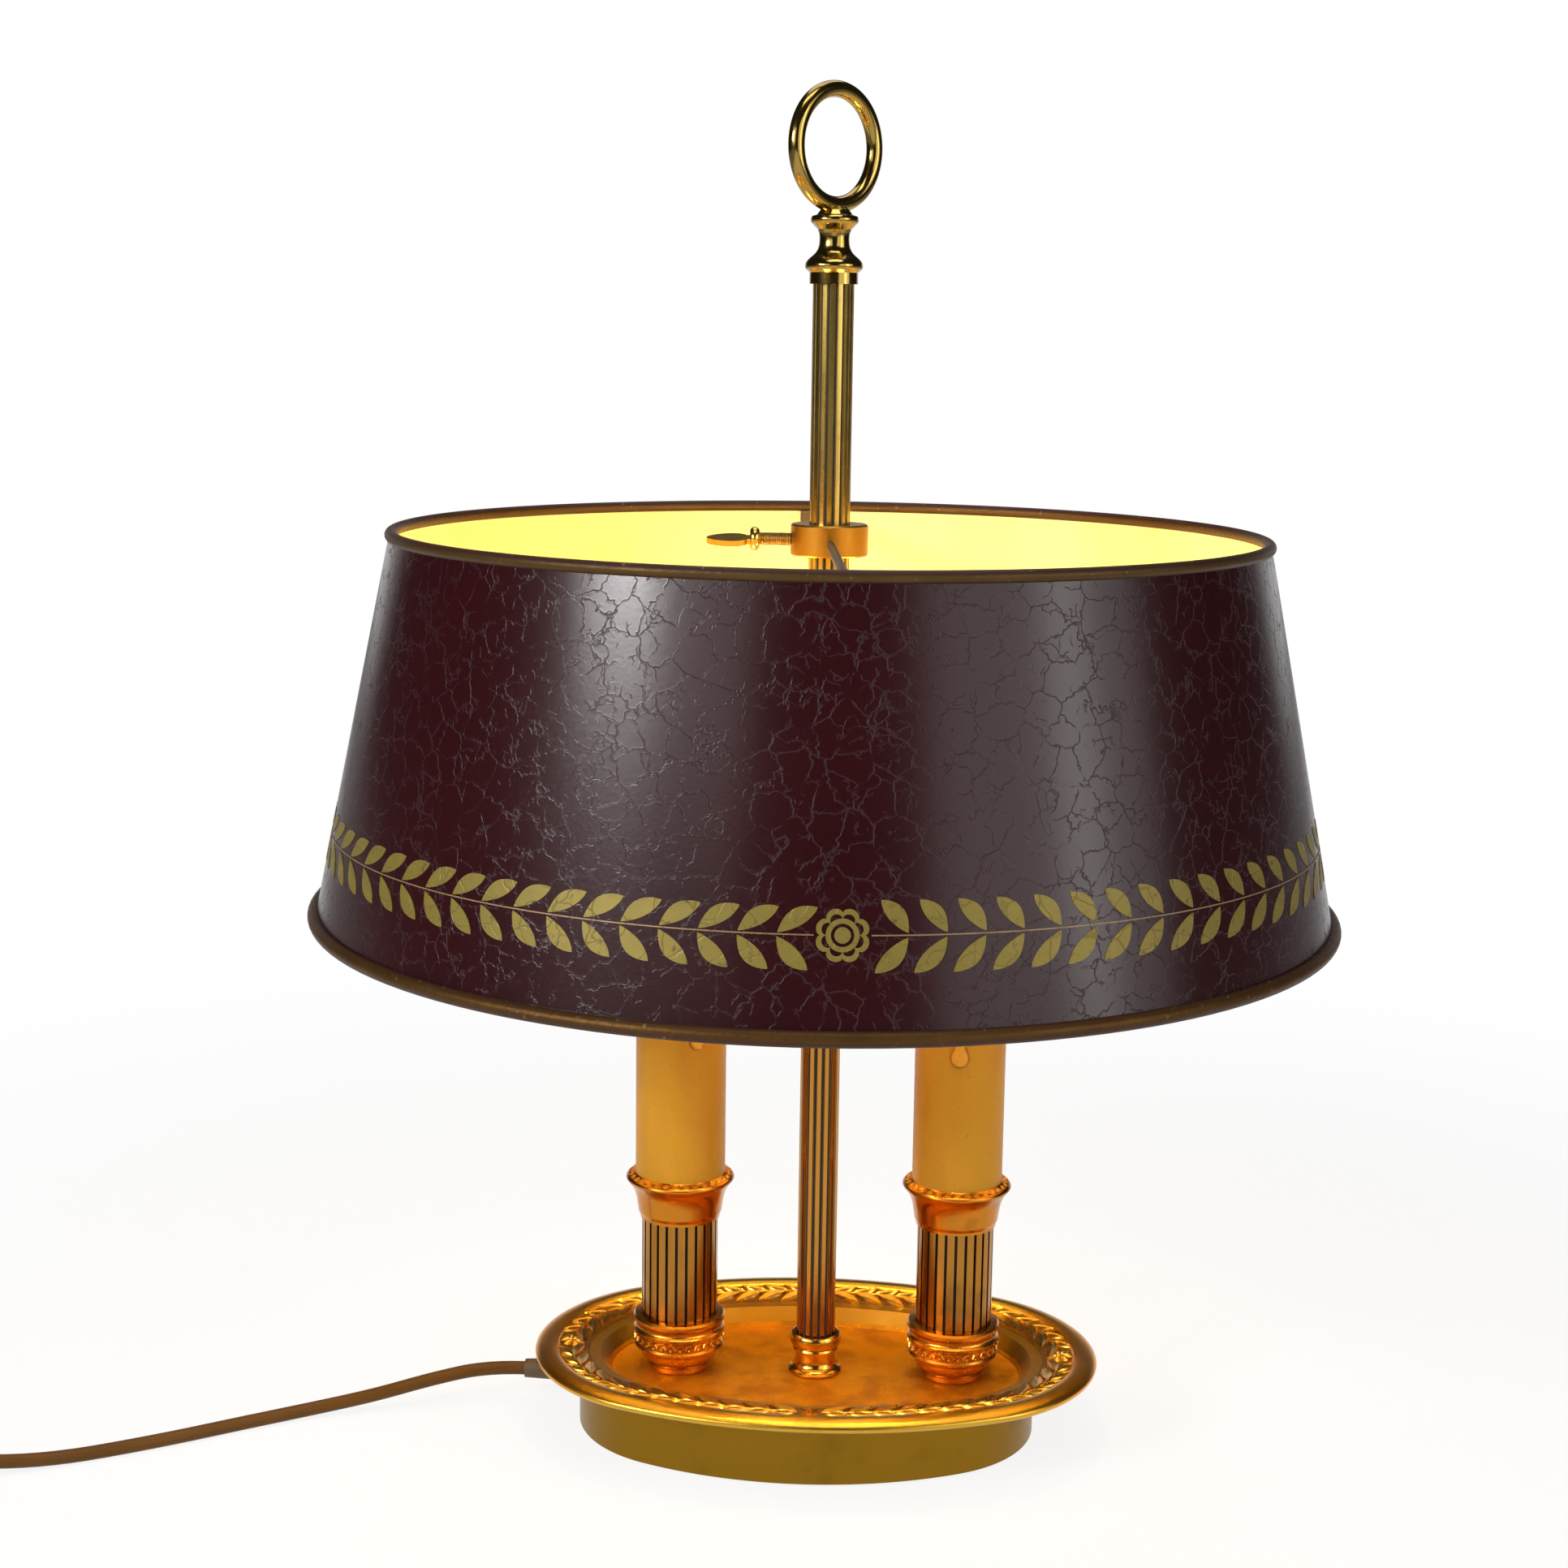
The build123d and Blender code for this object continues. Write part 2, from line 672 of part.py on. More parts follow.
with BuildPart() as holder_contacts:
    for x, y in pipeCentres:
        with BuildSketch(Plane((x, y, contactBottom))):
            Circle(contactRadius)
        extrude(amount=contactStrip)
        with BuildSketch(Plane((x, y, contactBottom + contactStrip))):
            Circle(contactTipRadius)
        extrude(amount=contactDepth - contactStrip - contactGap)
save(holder_contacts.part, "holder_contacts")

# ---------------------------------------------------------------- shade and its carrier

shadeTop = shadeBottom + shadeHeight
collarMiddle = shadeTop - collarDrop
shadeLean = (shadeTopRadius - shadeBottomRadius) / (shadeTop - shadeBottom)
halfSheet = shadeSheet / 2 * hypot(1, shadeLean)


def shadeRadius(height):
    """Radius of the middle of the sheet."""
    return shadeBottomRadius + shadeLean * (height - shadeBottom)


def sheetSection():
    Polyline((shadeBottomRadius - halfSheet, shadeBottom), (shadeBottomRadius + halfSheet, shadeBottom),
             (shadeTopRadius + halfSheet, shadeTop), (shadeTopRadius - halfSheet, shadeTop), close=True)


with BuildPart() as shade_shell:
    with BuildSketch(Plane.XZ):
        with BuildLine():
            sheetSection()
        make_face()
    revolve()
save(shade_shell.part, "shade_shell")

rims = {"top": (shadeTopRadius, shadeTop, topWireRadius),
        "bottom": (shadeBottomRadius + bottomWireOffset, shadeBottom, bottomWireRadius)}

for name, (radius, height, wire) in rims.items():
    with BuildPart() as shade_rim:
        with BuildSketch(Plane.XZ):
            with Locations((radius, height)):
                Circle(wire)
            with BuildLine():
                sheetSection()
            make_face(mode=Mode.SUBTRACT)
        revolve()
    save(shade_rim.part, f"shade_rim_{name}")

armHeight = collarMiddle - armDrop
armAngles = {"front": 270 + shadeTurn, "rear": 90 + shadeTurn}
screwAngle = 180 + shadeTurn
collarBottom = collarMiddle - collarHeight / 2

with BuildPart() as shade_collar:
    with BuildSketch(Plane.XY.offset(collarBottom)):
        Circle(collarRadius)
        Circle(stemRadius + collarClearance, mode=Mode.SUBTRACT)
    extrude(amount=collarHeight)
    chamfer(shade_collar.edges().filter_by(GeomType.CIRCLE).group_by(SortBy.RADIUS)[-1], 0.5)
    with BuildSketch(facing(screwAngle, collarRadius + 1, collarMiddle)):
        Circle(screwRadius + screwClearance)
    extrude(amount=-collarRadius - 1, mode=Mode.SUBTRACT)
    for angle in armAngles.values():
        with BuildSketch(facing(angle, collarRadius - armDepth, armHeight)):
            Circle(armRadius)
        extrude(amount=armDepth + 1, mode=Mode.SUBTRACT)
save(shade_collar.part, "shade_collar")

footTop = shadeTop - topWireRadius - armFootGap
footBottom = footTop - armFootHeight
footAngle = degrees(armFootWidth / shadeTopRadius)

for name, angle in armAngles.items():
    with BuildPart() as shade_arm:
        with BuildSketch(upright(angle - footAngle / 2)):
            with BuildLine():
                low = shadeRadius(footBottom) - halfSheet
                high = shadeRadius(footTop) - halfSheet
                Polyline((low, footBottom), (high, footTop), (high - armFootThickness, footTop),
                         (low - armFootThickness, footBottom), close=True)
            make_face()
        revolve(axis=Axis.Z, revolution_arc=footAngle)
        with BuildSketch(facing(angle, collarRadius - armDepth, armHeight)):
            Circle(armRadius)
        extrude(amount=high - armFootThickness / 2 - collarRadius + armDepth)
        with BuildSketch(upright(angle)):
            with BuildLine():
                wireInner = shadeTopRadius - topWireRadius - armFootGap
                Polyline((wireInner, footTop), (high + 2 * armRadius, footTop),
                         (high + 2 * armRadius, footTop + 4), (wireInner, footTop + 4), close=True)
            make_face()
        extrude(amount=2 * armRadius, both=True, mode=Mode.SUBTRACT)
    save(shade_arm.part, f"shade_arm_{name}")

with BuildPart() as thumbscrew:
    with BuildSketch(facing(screwAngle, stemRadius + screwTipGap, collarMiddle)):
        Circle(screwRadius)
    extrude(amount=screwReach - stemRadius - screwTipGap)
    with BuildSketch(upright(screwAngle, height=collarMiddle)):
        with BuildLine():
            far = screwReach + beadWidth
            Polyline((screwReach, beadRadius - 0.9), (screwReach, 0), (far, 0), (far, beadRadius - 0.9))
            ThreePointArc((far, beadRadius - 0.9), (screwReach + beadWidth / 2, beadRadius),
                          (screwReach, beadRadius - 0.9))
        make_face()
    screwLine = upright(screwAngle, height=collarMiddle)
    revolve(axis=Axis(screwLine.origin, screwLine.x_dir))
    blade = Plane(screwLine.origin, x_dir=screwLine.x_dir, z_dir=(0, 0, 1)).rotated((bladeTilt, 0, 0))
    with BuildSketch(blade.offset(-bladeThickness / 2)):
        with BuildLine():
            far = screwReach + beadWidth
            Polyline((far - 1, -2.2), (far - 1, 2.2), (far + 1, 2.2))
            Spline((far + 1, 2.2), (far + 0.45 * bladeLength, bladeWidth / 2), (far + bladeLength, 0),
                   (far + 0.45 * bladeLength, -bladeWidth / 2), (far + 1, -2.2))
            Line((far + 1, -2.2), (far - 1, -2.2))
        make_face()
    extrude(amount=bladeThickness)
save(thumbscrew.part, "thumbscrew")

# ---------------------------------------------------------------- wiring in the base

def skirtWallInside(y):
    """Where the skirt's left end wall has its inner face, at a distance from the long axis."""
    return skirtEnd + skirtEndRadius - sqrt((skirtEndRadius - skirtWall) ** 2 - y**2)


bushingTip = skirtEnd - bushingLength
terminalEnd = terminalX - terminalLength / 2
terminalTop = floorUnderside - terminalHeadroom
terminalMiddle = (pocketFloor + terminalTop) / 2

with BuildPart() as cord_bushing:
    with BuildSketch(Plane.XY.offset(cordExitZ)):
        with BuildLine():
            bore = cordRadius + cordBoreClearance
            wallInside = skirtWallInside(cordExitY + bushingRadius + 0.6) + 0.1
            Polyline((bushingTip, cordExitY + bore), (bushingTip, cordExitY + bore + 0.8),
                     (skirtEnd - bushingFlange, cordExitY + bushingRadius),
                     (skirtEnd - bushingFlange, cordExitY + bushingFlangeRadius),
                     (skirtEnd, cordExitY + bushingFlangeRadius), (skirtEnd, cordExitY + bushingRadius - 0.1),
                     (wallInside, cordExitY + bushingRadius - 0.1),
                     (wallInside, cordExitY + bushingRadius + 0.6),
                     (wallInside + 1.2, cordExitY + bushingRadius + 0.6),
                     (wallInside + 1.2, cordExitY + bore), close=True)
        make_face()
    revolve(axis=Axis((0, cordExitY, cordExitZ), (1, 0, 0)))
save(cord_bushing.part, "cord_bushing")

with BuildPart() as inner_lead:
    with BuildSketch(Plane(origin=(bushingTip, cordExitY, cordExitZ), z_dir=(1, 0, 0))):
        Circle(cordRadius)
    extrude(amount=terminalEnd - bushingTip)
save(inner_lead.part, "inner_lead")

terminalScrewCentres = [(terminalX, terminalY + step * terminalScrewSpacing) for step in (-0.5, 0.5)]
with BuildPart() as terminal_block:
    with BuildSketch(Plane((terminalX, terminalY, pocketFloor))):
        Rectangle(terminalLength, terminalWidth)
    extrude(amount=terminalTop - pocketFloor)
    fillet(terminal_block.edges().filter_by(Axis.Z), 1.0)
    with BuildSketch(Plane.XY.offset(terminalTop)):
        with Locations(*terminalScrewCentres):
            Circle(terminalScrewRadius)
    extrude(amount=terminalMiddle - terminalTop, mode=Mode.SUBTRACT)
save(terminal_block.part, "terminal_block")

with BuildPart() as terminal_screws:
    for x, y in terminalScrewCentres:
        with BuildSketch(Plane((x, y, terminalMiddle))):
            Circle(terminalScrewRadius)
        extrude(amount=terminalTop - terminalScrewSink - terminalMiddle)
        with BuildSketch(Plane((x, y, terminalTop - terminalScrewSink))):
            Rectangle(2 * terminalScrewRadius, 0.6)
        extrude(amount=-0.8, mode=Mode.SUBTRACT)
save(terminal_screws.part, "terminal_screws")

leadStart = terminalX + terminalLength / 2
leadHeight = pocketFloor + leadRise
leadRoutes = {
    "left": [(leadStart, 0, leadHeight), (-candleOffset, 0, leadHeight), (-candleOffset, 0, pipeTop)],
    "right": [(leadStart, channelY, leadHeight), (candleOffset, channelY, leadHeight),
              (candleOffset, 0, leadHeight), (candleOffset, 0, pipeTop)],
}
for side, points in leadRoutes.items():
    with BuildPart() as holder_lead:
        with BuildLine() as line:
            FilletPolyline(*points, radius=leadBend)
        route = line.wires()[0]
        with BuildSketch(Plane(origin=points[0], z_dir=route % 0)):
            Circle(leadRadius)
        sweep(path=route)
    save(holder_lead.part, f"holder_lead_{side}")

# ---------------------------------------------------------------- cord


def bendRadii(points):
    """Arc radius at each corner of the route: 0.45 of the shorter run over tan(turn / 2)."""
    radii = []
    for before, corner, after in zip(points, points[1:], points[2:]):
        arriving = Vector(*corner) - Vector(*before)
        leaving = Vector(*after) - Vector(*corner)
        turn = arriving.get_angle(leaving)
        radii.append(0.45 * min(arriving.length, leaving.length) / tan(radians(turn / 2)))
    return radii


def cordTube(points, name):
    radii = bendRadii(points)
    with BuildPart() as tube:
        with BuildLine() as line:
            FilletPolyline(*points, radius=radii)
        route = line.wires()[0]
        with BuildSketch(Plane(origin=points[0], z_dir=route % 0)):
            Circle(cordRadius)
        sweep(path=route)
    swept = pi * cordRadius**2 * route.length
    print(name, "radii", [round(radius, 1) for radius in radii], "length", round(route.length, 1),
          "volume ratio", round(tube.part.volume / swept, 4))
    save(tube.part, name)
    return route.length


onTable = cordRadius + 0.05
switchStep = (cos(radians(switchHeading)), sin(radians(switchHeading)))


def pointOnSwitch(along, across=0.0):
    """Plan position in the switch's own frame: along its cord, and across it."""
    return (switchX + along * switchStep[0] - across * switchStep[1],
            switchY + along * switchStep[1] + across * switchStep[0])


halfSwitch = switchLength / 2
leadRoute = [
    (bushingTip, cordExitY, cordExitZ), (-113, cordExitY, cordExitZ), (-131, 0.5, 9.9), (-150, -5, 5.6),
    (-169, -11, 2.9), (-189, -22.5, onTable), (-216, -40.5, onTable), (-246, -57, onTable),
    (*pointOnSwitch(-halfSwitch - 14), switchCordHeight), (*pointOnSwitch(-halfSwitch), switchCordHeight),
]
coilOuterPath = coilTurnRadius + 2 * cordRadius
coilLeadIn = coilOuterPath * 0.66
coilEntry = (coilX + coilLeadIn, coilY - coilOuterPath, onTable)
tailRoute = [
    (*pointOnSwitch(halfSwitch), switchCordHeight), (*pointOnSwitch(halfSwitch + 12), switchCordHeight),
    (coilEntry[0] + 17, coilEntry[1], onTable), coilEntry,
]
plugHeight = plugThickness / 2
coilExit = (coilX - coilOuterPath, coilY + coilLeadIn, plugHeight)
plugBack = (coilExit[0], coilExit[1] + cordEndLength, plugHeight)

cordLengths = [cordTube(leadRoute, "cord_lead"), cordTube(tailRoute, "cord_tail")]

with BuildPart() as cord_end:
    with BuildSketch(Plane(origin=coilExit, z_dir=(0, 1, 0))):
        Circle(cordRadius)
    extrude(amount=plugBack[1] - coilExit[1])
save(cord_end.part, "cord_end")

coilInside = coilTurnRadius - 3 * cordRadius
coilOutside = coilTurnRadius + 3 * cordRadius
coilHeight = 2 * cordRadius * coilRows

with BuildPart() as cord_coil:
    with BuildSketch(Plane((coilX, coilY, 0))):
        Circle(coilOutside)
        Circle(coilInside, mode=Mode.SUBTRACT)
    extrude(amount=coilHeight)
    fillet(cord_coil.edges(), 0.9 * cordRadius)
    with BuildSketch(Plane(origin=coilEntry, z_dir=(-1, 0, 0))):
        Circle(cordRadius)
    extrude(amount=coilEntry[0] - coilX)
    with BuildSketch(Plane(origin=coilExit, z_dir=(0, -1, 0))):
        Circle(cordRadius)
    extrude(amount=coilExit[1] - coilY)
save(cord_coil.part, "cord_coil")

# in-line switch: two shells, a rocker that tips on its cross pin, two screws
switchPlane = Plane(origin=(switchX, switchY, 0), x_dir=(*switchStep, 0), z_dir=(0, 0, 1))
pivotHeight = switchHeight + rockerRise - rockerRadius
rockerTip = rockerRadius * sin(radians(rockerTilt)) + rockerGap  # room under the tipped rocker
pivotPlane = Plane(origin=(switchX, switchY, pivotHeight), x_dir=(*switchStep, 0),
                   z_dir=(switchStep[1], -switchStep[0], 0))
switchScrewCentres = [pointOnSwitch(along * switchLength, 0.25 * switchWidth) for along in (-0.3, 0.3)]

with BuildPart() as switch_screws:
    for centre in switchScrewCentres:
        add(countersunkScrew(centre, 0.4, switchScrewRadius, 0.75 * switchHeight))
save(switch_screws.part, "switch_screws")


def switchOutline():
    with BuildSketch(switchPlane) as outline:
        Rectangle(switchLength, switchWidth)
        fillet(outline.vertices(), 0.4 * switchWidth)
    return outline.sketch


for name, bottom, top in (("switch_base", 0.0, switchSplit), ("switch_cover", switchSplit, switchHeight)):
    with BuildPart() as switch_shell:
        extrude(switchOutline().moved(Location((0, 0, bottom))), amount=top - bottom)
        outer = switch_shell.edges().filter_by(Plane.XY)
        fillet(outer.group_by(Axis.Z)[0 if bottom == 0 else -1], 2.0)
        with BuildSketch(pivotPlane):
            Circle(rockerRadius + rockerGap)
            with Locations((0, -rockerRadius - rockerTip)):
                Rectangle(3 * rockerRadius, 2 * rockerRadius, mode=Mode.SUBTRACT)
        extrude(amount=rockerWidth / 2 + rockerGap, both=True, mode=Mode.SUBTRACT)
        with BuildSketch(pivotPlane):
            Circle(rockerPinRadius + rockerPinClearance)
        extrude(amount=rockerWidth / 2 + rockerPinReach + rockerGap, both=True, mode=Mode.SUBTRACT)
        for centre in switchScrewCentres:
            with BuildSketch(Plane((*centre, 0))):
                Circle(2 * switchScrewRadius)
            extrude(amount=0.4, mode=Mode.SUBTRACT)
        add(switch_screws.part, mode=Mode.SUBTRACT)
    save(switch_shell.part, name)

with BuildPart() as switch_rocker:
    with BuildSketch(pivotPlane):
        Circle(rockerRadius)
        with Locations((0, -rockerRadius)):
            Rectangle(2 * rockerRadius, 2 * rockerRadius, mode=Mode.SUBTRACT)
    extrude(amount=rockerWidth / 2, both=True)
    with BuildSketch(pivotPlane):
        Circle(rockerPinRadius)
    extrude(amount=rockerWidth / 2 + rockerPinReach, both=True)
save(switch_rocker.part, "switch_rocker")

plugEnd = Plane(origin=plugBack, x_dir=(1, 0, 0), z_dir=(0, 1, 0))
plugFace = plugEnd.offset(plugLength)

with BuildPart() as plug_body:
    with BuildSketch(plugEnd):
        RectangleRounded(plugBackWidth, plugBackThickness, 0.4 * plugBackThickness)
    with BuildSketch(plugFace):
        RectangleRounded(plugWidth, plugThickness, 0.4 * plugThickness)
    loft()
save(plug_body.part, "plug_body")

with BuildPart() as plug_pins:
    with BuildSketch(plugFace):
        with Locations((-pinSpacing / 2, 0), (pinSpacing / 2, 0)):
            Circle(pinRadius)
    extrude(amount=pinLength)
    fillet(plug_pins.faces().sort_by(Axis.Y)[-2:].edges(), 0.45 * pinRadius)
save(plug_pins.part, "plug_pins")

coilLength = coilTurns * 2 * pi * coilTurnRadius + 2 * coilLeadIn
innerLength = terminalEnd - bushingTip
print("cord length", round(innerLength + sum(cordLengths) + switchLength + coilLength + cordEndLength, 1))
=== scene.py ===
import json
from math import atan2, cos, degrees, hypot, pi, radians, sin, sqrt, tan

import bmesh
import bpy
from mathutils import Matrix, Vector


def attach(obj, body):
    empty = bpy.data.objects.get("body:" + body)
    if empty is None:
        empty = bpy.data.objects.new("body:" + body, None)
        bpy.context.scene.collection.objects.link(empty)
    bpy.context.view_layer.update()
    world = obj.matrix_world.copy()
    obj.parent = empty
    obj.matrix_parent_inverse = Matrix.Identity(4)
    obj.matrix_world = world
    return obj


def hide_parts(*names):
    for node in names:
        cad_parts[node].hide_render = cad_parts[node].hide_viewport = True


# Two-light bouillotte lamp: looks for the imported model. +Z up, origin on the table under the stem.
# Shapes are in millimetres and degrees, the rest in metres.
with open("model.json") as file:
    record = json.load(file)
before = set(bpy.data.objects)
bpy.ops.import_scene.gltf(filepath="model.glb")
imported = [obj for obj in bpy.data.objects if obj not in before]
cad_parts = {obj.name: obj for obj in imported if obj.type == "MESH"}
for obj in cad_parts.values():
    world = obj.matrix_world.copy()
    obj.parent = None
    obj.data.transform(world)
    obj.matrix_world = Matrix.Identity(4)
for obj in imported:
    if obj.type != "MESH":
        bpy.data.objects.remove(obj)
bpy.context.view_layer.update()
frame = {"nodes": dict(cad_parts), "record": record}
nodes = frame["nodes"]
mm = 0.001


def linked(name, data):
    made = bpy.data.objects.new(name, data)
    bpy.context.scene.collection.objects.link(made)
    return made


cameraView = {  # stands in front and a little above
    "eye": (0.024993, -0.809126, 0.365055),
    "right": (0.99865143, 0.04993379, 0.01421067),
    "up": (-0.02277034, 0.17528666, 0.98425408),
    "back": (0.0466566, -0.98325033, 0.17618729),
    "lens": 57.892,
    "sensor": 36.0,
    "nearest": 0.01,
}


def makeCamera(view):
    data = bpy.data.cameras.new("viewCamera")
    data.sensor_fit = "HORIZONTAL"
    data.sensor_width = view["sensor"]
    data.lens = view["lens"]
    data.clip_start = view["nearest"]
    camera = linked("viewCamera", data)
    turn = Matrix((view["right"], view["up"], view["back"])).transposed()
    camera.matrix_world = Matrix.Translation(view["eye"]) @ turn.to_4x4()
    bpy.context.scene.camera = camera


makeCamera(cameraView)
print("camera placed")


def cleaned(mesh, merge=0.0):  # faces outwards, doubles merged where a distance is given
    work = bmesh.new()
    work.from_mesh(mesh)
    if merge:
        bmesh.ops.remove_doubles(work, verts=work.verts, dist=merge)
    bmesh.ops.recalc_face_normals(work, faces=work.faces)
    work.to_mesh(mesh)
    work.free()


def asMath(operation, reflected=False):
    def act(self, *others):
        return self.tree.math(operation, *((*others, self) if reflected else (self, *others)))
    return act


class Signal:  # one value of a node tree; arithmetic on it adds the nodes
    def __init__(self, tree, socket):
        self.tree = tree
        self.socket = socket

    __add__ = __radd__ = asMath("ADD")
    __sub__, __rsub__ = asMath("SUBTRACT"), asMath("SUBTRACT", True)
    __mul__ = __rmul__ = asMath("MULTIPLY")
    __truediv__ = asMath("DIVIDE")
    __pow__ = asMath("POWER")
    __gt__, __lt__ = asMath("GREATER_THAN"), asMath("LESS_THAN")
    __abs__ = asMath("ABSOLUTE")


class NodeTree:
    def node(self, kind, settings=None, sockets=None, out=0):
        made = self.tree.nodes.new(kind)
        for key, value in (settings or {}).items():
            setattr(made, key, value)
        for key, value in (sockets or {}).items():
            if isinstance(value, Signal):
                self.tree.links.new(value.socket, made.inputs[key])
            else:
                made.inputs[key].default_value = value
        return Signal(self, made.outputs[out])

    def math(self, operation, *values):
        return self.node("ShaderNodeMath", {"operation": operation}, dict(enumerate(values)))

    def vector(self, operation, first, second):
        return self.node("ShaderNodeVectorMath", {"operation": operation}, {0: first, 1: second})

    def between(self, low, high, value):  # 0 below low, 1 above high, smooth in between
        return self.node("ShaderNodeMapRange", {"interpolation_type": "SMOOTHSTEP"},
                         {0: value, 1: low, 2: high})

    def ridge(self, low, top, high, value):  # 1 at the top, 0 below low and above high
        return self.between(low, top, value) - self.between(top, high, value)

    def split(self, place):
        return [self.node("ShaderNodeSeparateXYZ", sockets={0: place}, out=axis) for axis in "XYZ"]

    def xyz(self, **parts):
        return self.node("ShaderNodeCombineXYZ", sockets=parts)

    def grey(self, level):
        return self.xyz(X=level, Y=level, Z=level)


class Shader(NodeTree):
    def __init__(self, name):
        self.material = bpy.data.materials.new(name)
        self.material.use_nodes = True
        self.tree = self.material.node_tree
        self.tree.nodes.clear()
        self.place = self.node("ShaderNodeTexCoord", out="Object")
        self.x, self.y, self.z = self.split(self.place)

    def noise(self, size, detail=3.0, place=None):
        sockets = {"Vector": place or self.place, "Scale": 1 / size, "Detail": detail}
        return self.node("ShaderNodeTexNoise", sockets=sockets)

    def shaken(self, size, amount, place=None):  # a place, pushed about by a soft noise
        push = self.node("ShaderNodeTexNoise", sockets={"Vector": self.place, "Scale": 1 / size}, out="Color")
        push = self.vector("SUBTRACT", push, (0.5, 0.5, 0.5))
        push = self.vector("MULTIPLY", push, [amount] * 3)
        return self.vector("ADD", place or self.place, push)

    def stretched(self, x, y, z):
        return self.vector("MULTIPLY", self.place, (x, y, z))

    def cellEdge(self, size, place):
        return self.node("ShaderNodeTexVoronoi", {"feature": "DISTANCE_TO_EDGE"},
                         {"Vector": place, "Scale": 1 / size})

    def mix(self, amount, first, second):  # colours, as three numbers or a signal
        first, second = [color if isinstance(color, Signal) else (*color, 1) for color in (first, second)]
        return self.node("ShaderNodeMix", {"data_type": "RGBA"}, {0: amount, 6: first, 7: second}, out=2)

    def radius(self, centreX=0.0):  # distance from an upright axis, both columns at once
        across = abs(self.x) - centreX if centreX else self.x
        return self.math("SQRT", across * across + self.y * self.y)

    def bump(self, height, depth, strength, under=None):
        sockets = {"Height": height, "Distance": depth, "Strength": strength}
        if under:
            sockets["Normal"] = under
        return self.node("ShaderNodeBump", sockets=sockets)

    def finish(self, color, roughness, metallic, normal, specular=0.5):
        return self.close(self.node("ShaderNodeBsdfPrincipled", sockets={
            "Base Color": color, "Roughness": roughness, "Metallic": metallic, "Normal": normal,
            "Specular IOR Level": specular}))

    def close(self, surface):
        end = self.tree.nodes.new("ShaderNodeOutputMaterial")
        self.tree.links.new(surface.socket, end.inputs["Surface"])
        return self.material


# cord: one smooth line from the base through the switch, round its coil and into the plug
cordSizes = {
    "diameter": 4.6, "floorGap": 0.05,
    "route": [
        (-100, 6, 12.5), (-113, 6, 12.5), (-131, 0.5, 9.9), (-150, -5, 5.6), (-169, -11, 2.9),
        (-189, -22.5, 2.35), (-216, -40.5, 2.35), (-246, -57, 2.35),
    ],
    "switchMiddle": (-309.5, -85.3, 6.0), "switchHeading": 204,
    "switchSteps": (-43, -29, 29, 41),  # straight through it
    "coilMiddle": (-402.0, -76.4),
    "coilRadii": [30.6, 26.0, 21.4, 21.4, 21.4, 26.0, 30.6, 30.6, 30.6],
    "coilRows": [0, 0, 0, 1, 2, 2, 2, 1, 1],
    "coilTurns": 8.25, "pointsPerTurn": 16,
    "hop": 0.25,  # share of a turn in which it moves to the next ring or row
    "coilLead": 20.2, "coilEntry": 17, "plugLead": 28.0, "plugHeight": 6.85,
}


def coilPoint(sizes, turn):
    whole = min(int(turn), len(sizes["coilRadii"]) - 2)
    ease = max(0.0, (turn - whole - 1 + sizes["hop"]) / sizes["hop"])
    ease = ease * ease * (3 - 2 * ease)
    radius, row = [steps[whole] + (steps[whole + 1] - steps[whole]) * ease
                   for steps in (sizes["coilRadii"], sizes["coilRows"])]
    radius = radius / cos(pi / sizes["pointsPerTurn"])
    angle = radians(-90) - 2 * pi * turn
    middle = sizes["coilMiddle"]
    height = sizes["diameter"] * (row + 0.5) + sizes["floorGap"]
    return (middle[0] + radius * cos(angle), middle[1] + radius * sin(angle), height)


def cordRoute(sizes):
    heading = radians(sizes["switchHeading"])
    along = Vector((cos(heading), sin(heading), 0))
    switch = Vector(sizes["switchMiddle"])
    coilX, coilY = sizes["coilMiddle"]
    outer = sizes["coilRadii"][0]
    lead = sizes["coilLead"]
    low = sizes["diameter"] / 2 + sizes["floorGap"]
    points = [Vector(point) for point in sizes["route"]]
    points += [switch + along * step for step in sizes["switchSteps"]]
    points += [Vector((coilX + lead + step, coilY - outer, low)) for step in (sizes["coilEntry"], 0)]
    steps = int(sizes["coilTurns"] * sizes["pointsPerTurn"]) + 1
    points += [Vector(coilPoint(sizes, step / sizes["pointsPerTurn"])) for step in range(steps)]
    end = Vector((coilX - outer, coilY + lead, sizes["plugHeight"]))
    points += [end + Vector((0, sizes["plugLead"] * share, 0)) for share in (0, 0.5, 1)]
    return [point * mm for point in points]


def smoothLine(name, points, thickness):
    curve = bpy.data.curves.new(name, "CURVE")
    curve.dimensions = "3D"
    curve.bevel_depth = 1.0  # each point's radius sets the thickness
    curve.bevel_resolution = 4
    curve.resolution_u = 6
    curve.use_fill_caps = True
    spline = curve.splines.new("NURBS")
    spline.points.add(len(points) - 1)
    for point, place in zip(spline.points, points):
        point.co = (*place, 1)
        point.radius = thickness / 2
    spline.order_u = 3
    spline.use_endpoint_u = True
    return linked(name, curve)


cordPoints = cordRoute(cordSizes)
cord = smoothLine("powerCord", cordPoints, cordSizes["diameter"] * mm)
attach(cord, "lamp_base")
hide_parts("cord_lead", "cord_tail", "cord_end", "cord_coil")
tuple(cordPoints[0])
print("cord laid")


brass = {
    "cloud": 0.014, "grain": 0.0011, "grainDepth": 0.00003, "tarnish": 0.45,
    "grime": (0.10, 0.045, 0.012),
    "spread": 0.12,  # of the roughness, from cloud to cloud
}


